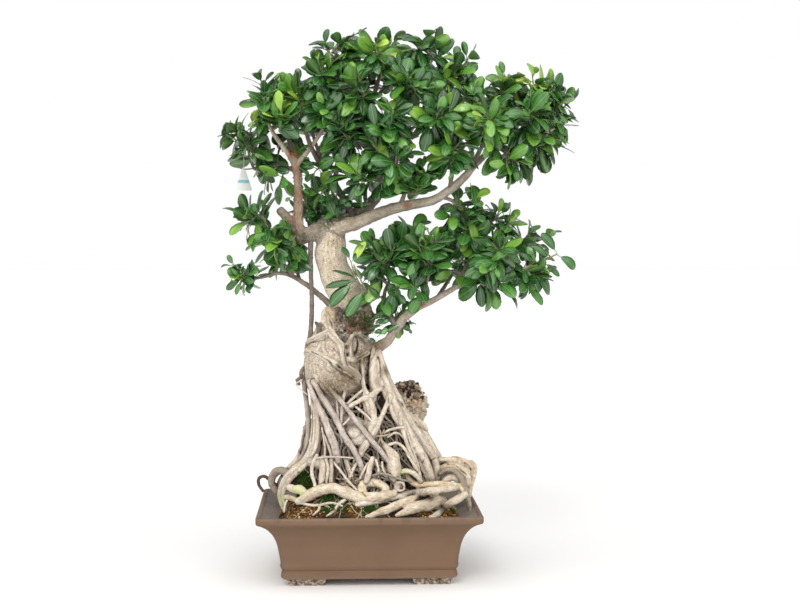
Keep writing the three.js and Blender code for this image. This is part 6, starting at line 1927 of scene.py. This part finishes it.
def coated_paper():
    """Coated card: white, with a satin face and a band of pale blue printed near its lower edge."""
    made, tree, shader = material("coated_paper", 0.45, 1.5)
    place = add(tree, "TexCoord", output="Object")
    fibre = add(tree, "TexNoise", {"Vector": place, "Scale": 500.0, "Detail": 3.0})
    tint = add(tree, "ValToRGB", {0: fibre}, stops=[(0.3, "#f8f9f9"), (0.7, "#ffffff")])
    height = add(tree, "Attribute", attribute_name="card_height", output="Fac")
    off_band = add(tree, "Math", {0: height, 1: tag_band["middle"]}, operation="SUBTRACT")
    gap = add(tree, "Math", {0: off_band}, operation="ABSOLUTE")
    share = add(tree, "MapRange", {0: gap, 1: tag_band["half"], 2: tag_band["half"] - 0.6})
    printed = add(tree, "Mix", {0: share, 6: tint, 7: "#8fd3e0"}, data_type="RGBA", output=2)
    link(tree, shader, "Base Color", printed)
    return made


def make_tag():
    """The loop, the hanging thread and the bowed card with rounded corners, as one piece."""
    x, y, z = tag_loop
    angles = np.linspace(0, 2 * math.pi, 33)
    loop = [[x, y + math.sin(a) * tag_loop_radius, z + math.cos(a) * tag_loop_radius, tag_thread_radius]
            for a in angles]
    top = z - tag_loop_radius
    thread = [[x, y, top, tag_thread_radius], [x + 0.6, y, top - 20, tag_thread_radius],
              [x, y, top - tag_thread_length - 2, tag_thread_radius]]
    half, corner, height = tag_card["width"] / 2, tag_card["corner"], tag_card["height"]
    outline = [(-corner, 0.0)]
    for middle, first in ((corner - half, math.pi), (half - corner, 1.5 * math.pi)):
        outline += [(middle + corner * math.cos(first + i * math.pi / 12),
                     corner - height + corner * math.sin(first + i * math.pi / 12)) for i in range(7)]
    outline += [(corner * math.cos(a), corner * math.sin(a)) for a in np.linspace(0, math.pi, 9)[:-1]]
    cos, sin = math.cos(tag_card["turn"]), math.sin(tag_card["turn"])
    rings = []
    for inset, depth in ((0.25, -0.5), (0.0, -0.3), (0.0, 0.3), (0.25, 0.5)):
        ring = []
        for u, v in outline:
            scale = 1 - inset / half
            bow = 0.9 * math.sin(math.pi * (v + height) / height) * tag_card["thickness"]
            u, w = u * scale, depth * tag_card["thickness"] + bow
            ring.append((x + u * cos - w * sin, y + u * sin + w * cos, top - tag_thread_length + v * scale))
        rings.append(ring)
    parts = [tube(np.array(loop), thread_sides), tube(route(thread, 3.0), thread_sides),
             (placed([p for ring in rings for p in ring]), [f[::-1] for f in ring_faces(4, len(outline))])]
    return joined(parts)


tag = mesh_piece("blank_tag", *make_tag(), coated_paper())
card_foot = tag_loop[2] - tag_loop_radius - tag_thread_length - tag_card["height"]
heights = np.array([v.co.z for v in tag.data.vertices]) / MM - placed([0, 0, card_foot])[2] / MM
number_attribute(tag, "card_height", heights)
tag.data.set_sharp_from_angle(angle=math.radians(40))
finish_piece(tag, "card", "hang_tag")


# Moss. Cushions of dark green moss with upright blades, grown on the damp soil under the roots, and thin
# mats that climb the roots. A patch of soil moss is its middle, its half sizes and how high it swells.
moss_patches = [
    ([-116, -38], [15, 15], 24), ([-104, -30], [13, 14], 28), ([-60, -84], [34, 9], 5),
    ([10, -90], [30, 7], 5), ([100, -62], [34, 10], 5), ([146, -30], [16, 14], 5), ([-90, 40], [26, 18], 5),
    ([60, 60], [34, 16], 5), ([-20, 80], [30, 12], 5), ([-70, -60], [22, 12], 4)]
# The soil moss has darker tips than the climbing moss: painted shade for the shadow of the roots over it.
moss_blades, shaded_soil_moss_light, climbing_moss_light = 4200, 0.6, 1.0
# Patches of the photograph where moss climbs the wood: two corners, the least depth and the blades.
wall_moss = [
    (((297, 471), (313, 492)), -36, 620), (((363, 317), (375, 338)), -90, 520),
    (((345, 312), (366, 318)), -90, 160), (((446, 500), (468, 514)), -90, 260)]


def cushion_moss():
    """Living cushion moss: fine, soft and without shine, brightest at the blade tips."""
    made, tree, shader = material("cushion_moss", 0.9, 1.4, Specular_IOR_Level=0.25)
    tip = add(tree, "Attribute", attribute_name="blade_height", output="Fac")
    tint = add(tree, "ValToRGB", {0: tip}, stops=[(0.0, "#16220d"), (0.5, "#44701f"), (1.0, "#86b53c")])
    link(tree, shader, "Base Color", tint)
    return made


# The angles of the three corners at the foot of a blade.
blade_corners = (0, 2.09, 4.19)


def moss_piece(name, light, feet, ups, draw, *nodes):
    """Pointed blades of moss that stand on their feet, with how light their tips are."""
    points, faces, heights = [], [], []
    for foot, up in zip(feet, ups):
        tall, wide, turn = draw.uniform(3.0, 6.5), draw.uniform(0.5, 0.95), draw.uniform(0, 2 * math.pi)
        ring = [foot + wide * np.array([math.cos(turn + a), math.sin(turn + a), 0]) for a in blade_corners]
        start = len(points)
        points += [*ring, foot + tall * (up + draw.normal(0, 0.3, 3))]
        heights += [0, 0, 0, draw.uniform(0.6, 1.0) * light]
        faces += [(start, start + 1, start + 3), (start + 1, start + 2, start + 3),
                  (start + 2, start, start + 3), (start, start + 2, start + 1)]
    moss = mesh_piece(name, placed(points), faces, moss_green, smooth=False)
    number_attribute(moss, "blade_height", heights)
    return finish_piece(moss, "leaf", *nodes)


moss_green = cushion_moss()
draw = np.random.default_rng(23)
feet = []
for _ in range(moss_blades):
    (x, y), (half_x, half_y), rise = moss_patches[draw.integers(len(moss_patches))]
    angle, reach = draw.uniform(0, 2 * math.pi), math.sqrt(draw.random())
    x, y = x + half_x * reach * math.cos(angle), y + half_y * reach * math.sin(angle)
    feet.append(np.array([x, y, mound_height(x, y) + rise * (1 - reach * reach) - 2]))
moss_piece("moss", shaded_soil_moss_light, feet, np.tile([0, 0, 1.0], (len(feet), 1)), draw, "soil")
feet, ups = [], []
for corners, least_depth, count in wall_moss:
    cast = on_patch(corners, least_depth)
    for _ in range(count):
        spot, normal = cast(draw)
        if spot is not None:
            feet.append((np.array(spot) - pot_middle) / MM)
            ups.append(np.array(normal) * 0.8 + np.array([0, 0, 0.5]))
moss_piece("climbing_moss", climbing_moss_light, feet, ups, draw, "wood")


# Studio. A plain pale floor that runs on into a white surround, which also lights the part evenly. A wide
# soft light comes from the upper left in front, and a faint small one from the same side draws the shadows.
# A lamp is its strength, its spread in degrees and the way that it shines.
floor_half_size = 30
lamps = {"soft_box": (2.85, 120, (0.08, 0.8, -0.6)), "small_lamp": (0.6, 20, (0.2, 0.72, -0.66))}
lamp_white = (1.0, 0.985, 0.96)
surround_light, surround_white = 0.48, 1.0


def pale_floor():
    """Matt, nearly white sheet that takes only a faint shadow."""
    made, tree, shader = material("pale_floor", 0.9, 1.45, Specular_IOR_Level=0.1)
    shader.inputs["Base Color"].default_value = linear("#fbfbfb")
    return made


half = floor_half_size
floor = mesh_piece("floor", [(-half, -half, 0), (half, -half, 0), (half, half, 0), (-half, half, 0)],
                   [(0, 1, 2, 3)], pale_floor(), smooth=False)
for name, (energy, spread, aim) in lamps.items():
    lamp_data = bpy.data.lights.new(name, "SUN")
    lamp_data.energy = energy
    lamp_data.angle = math.radians(spread)
    lamp_data.color = lamp_white
    lamp = bpy.data.objects.new(name, lamp_data)
    lamp.rotation_euler = Vector(aim).to_track_quat("-Z", "Y").to_euler()
    bpy.context.collection.objects.link(lamp)
world = bpy.data.worlds.new("surround")
world.use_nodes = True
bpy.context.scene.world = world
background = world.node_tree.nodes["Background"]
direct = add(world.node_tree, "LightPath", output="Is Camera Ray")
strength = add(world.node_tree, "MapRange", {0: direct, 3: surround_light, 4: surround_white})
background.inputs["Color"].default_value = (1.0, 1.0, 1.0, 1.0)
world.node_tree.links.new(strength, background.inputs["Strength"])
bpy.context.scene.view_settings.view_transform = "Standard"
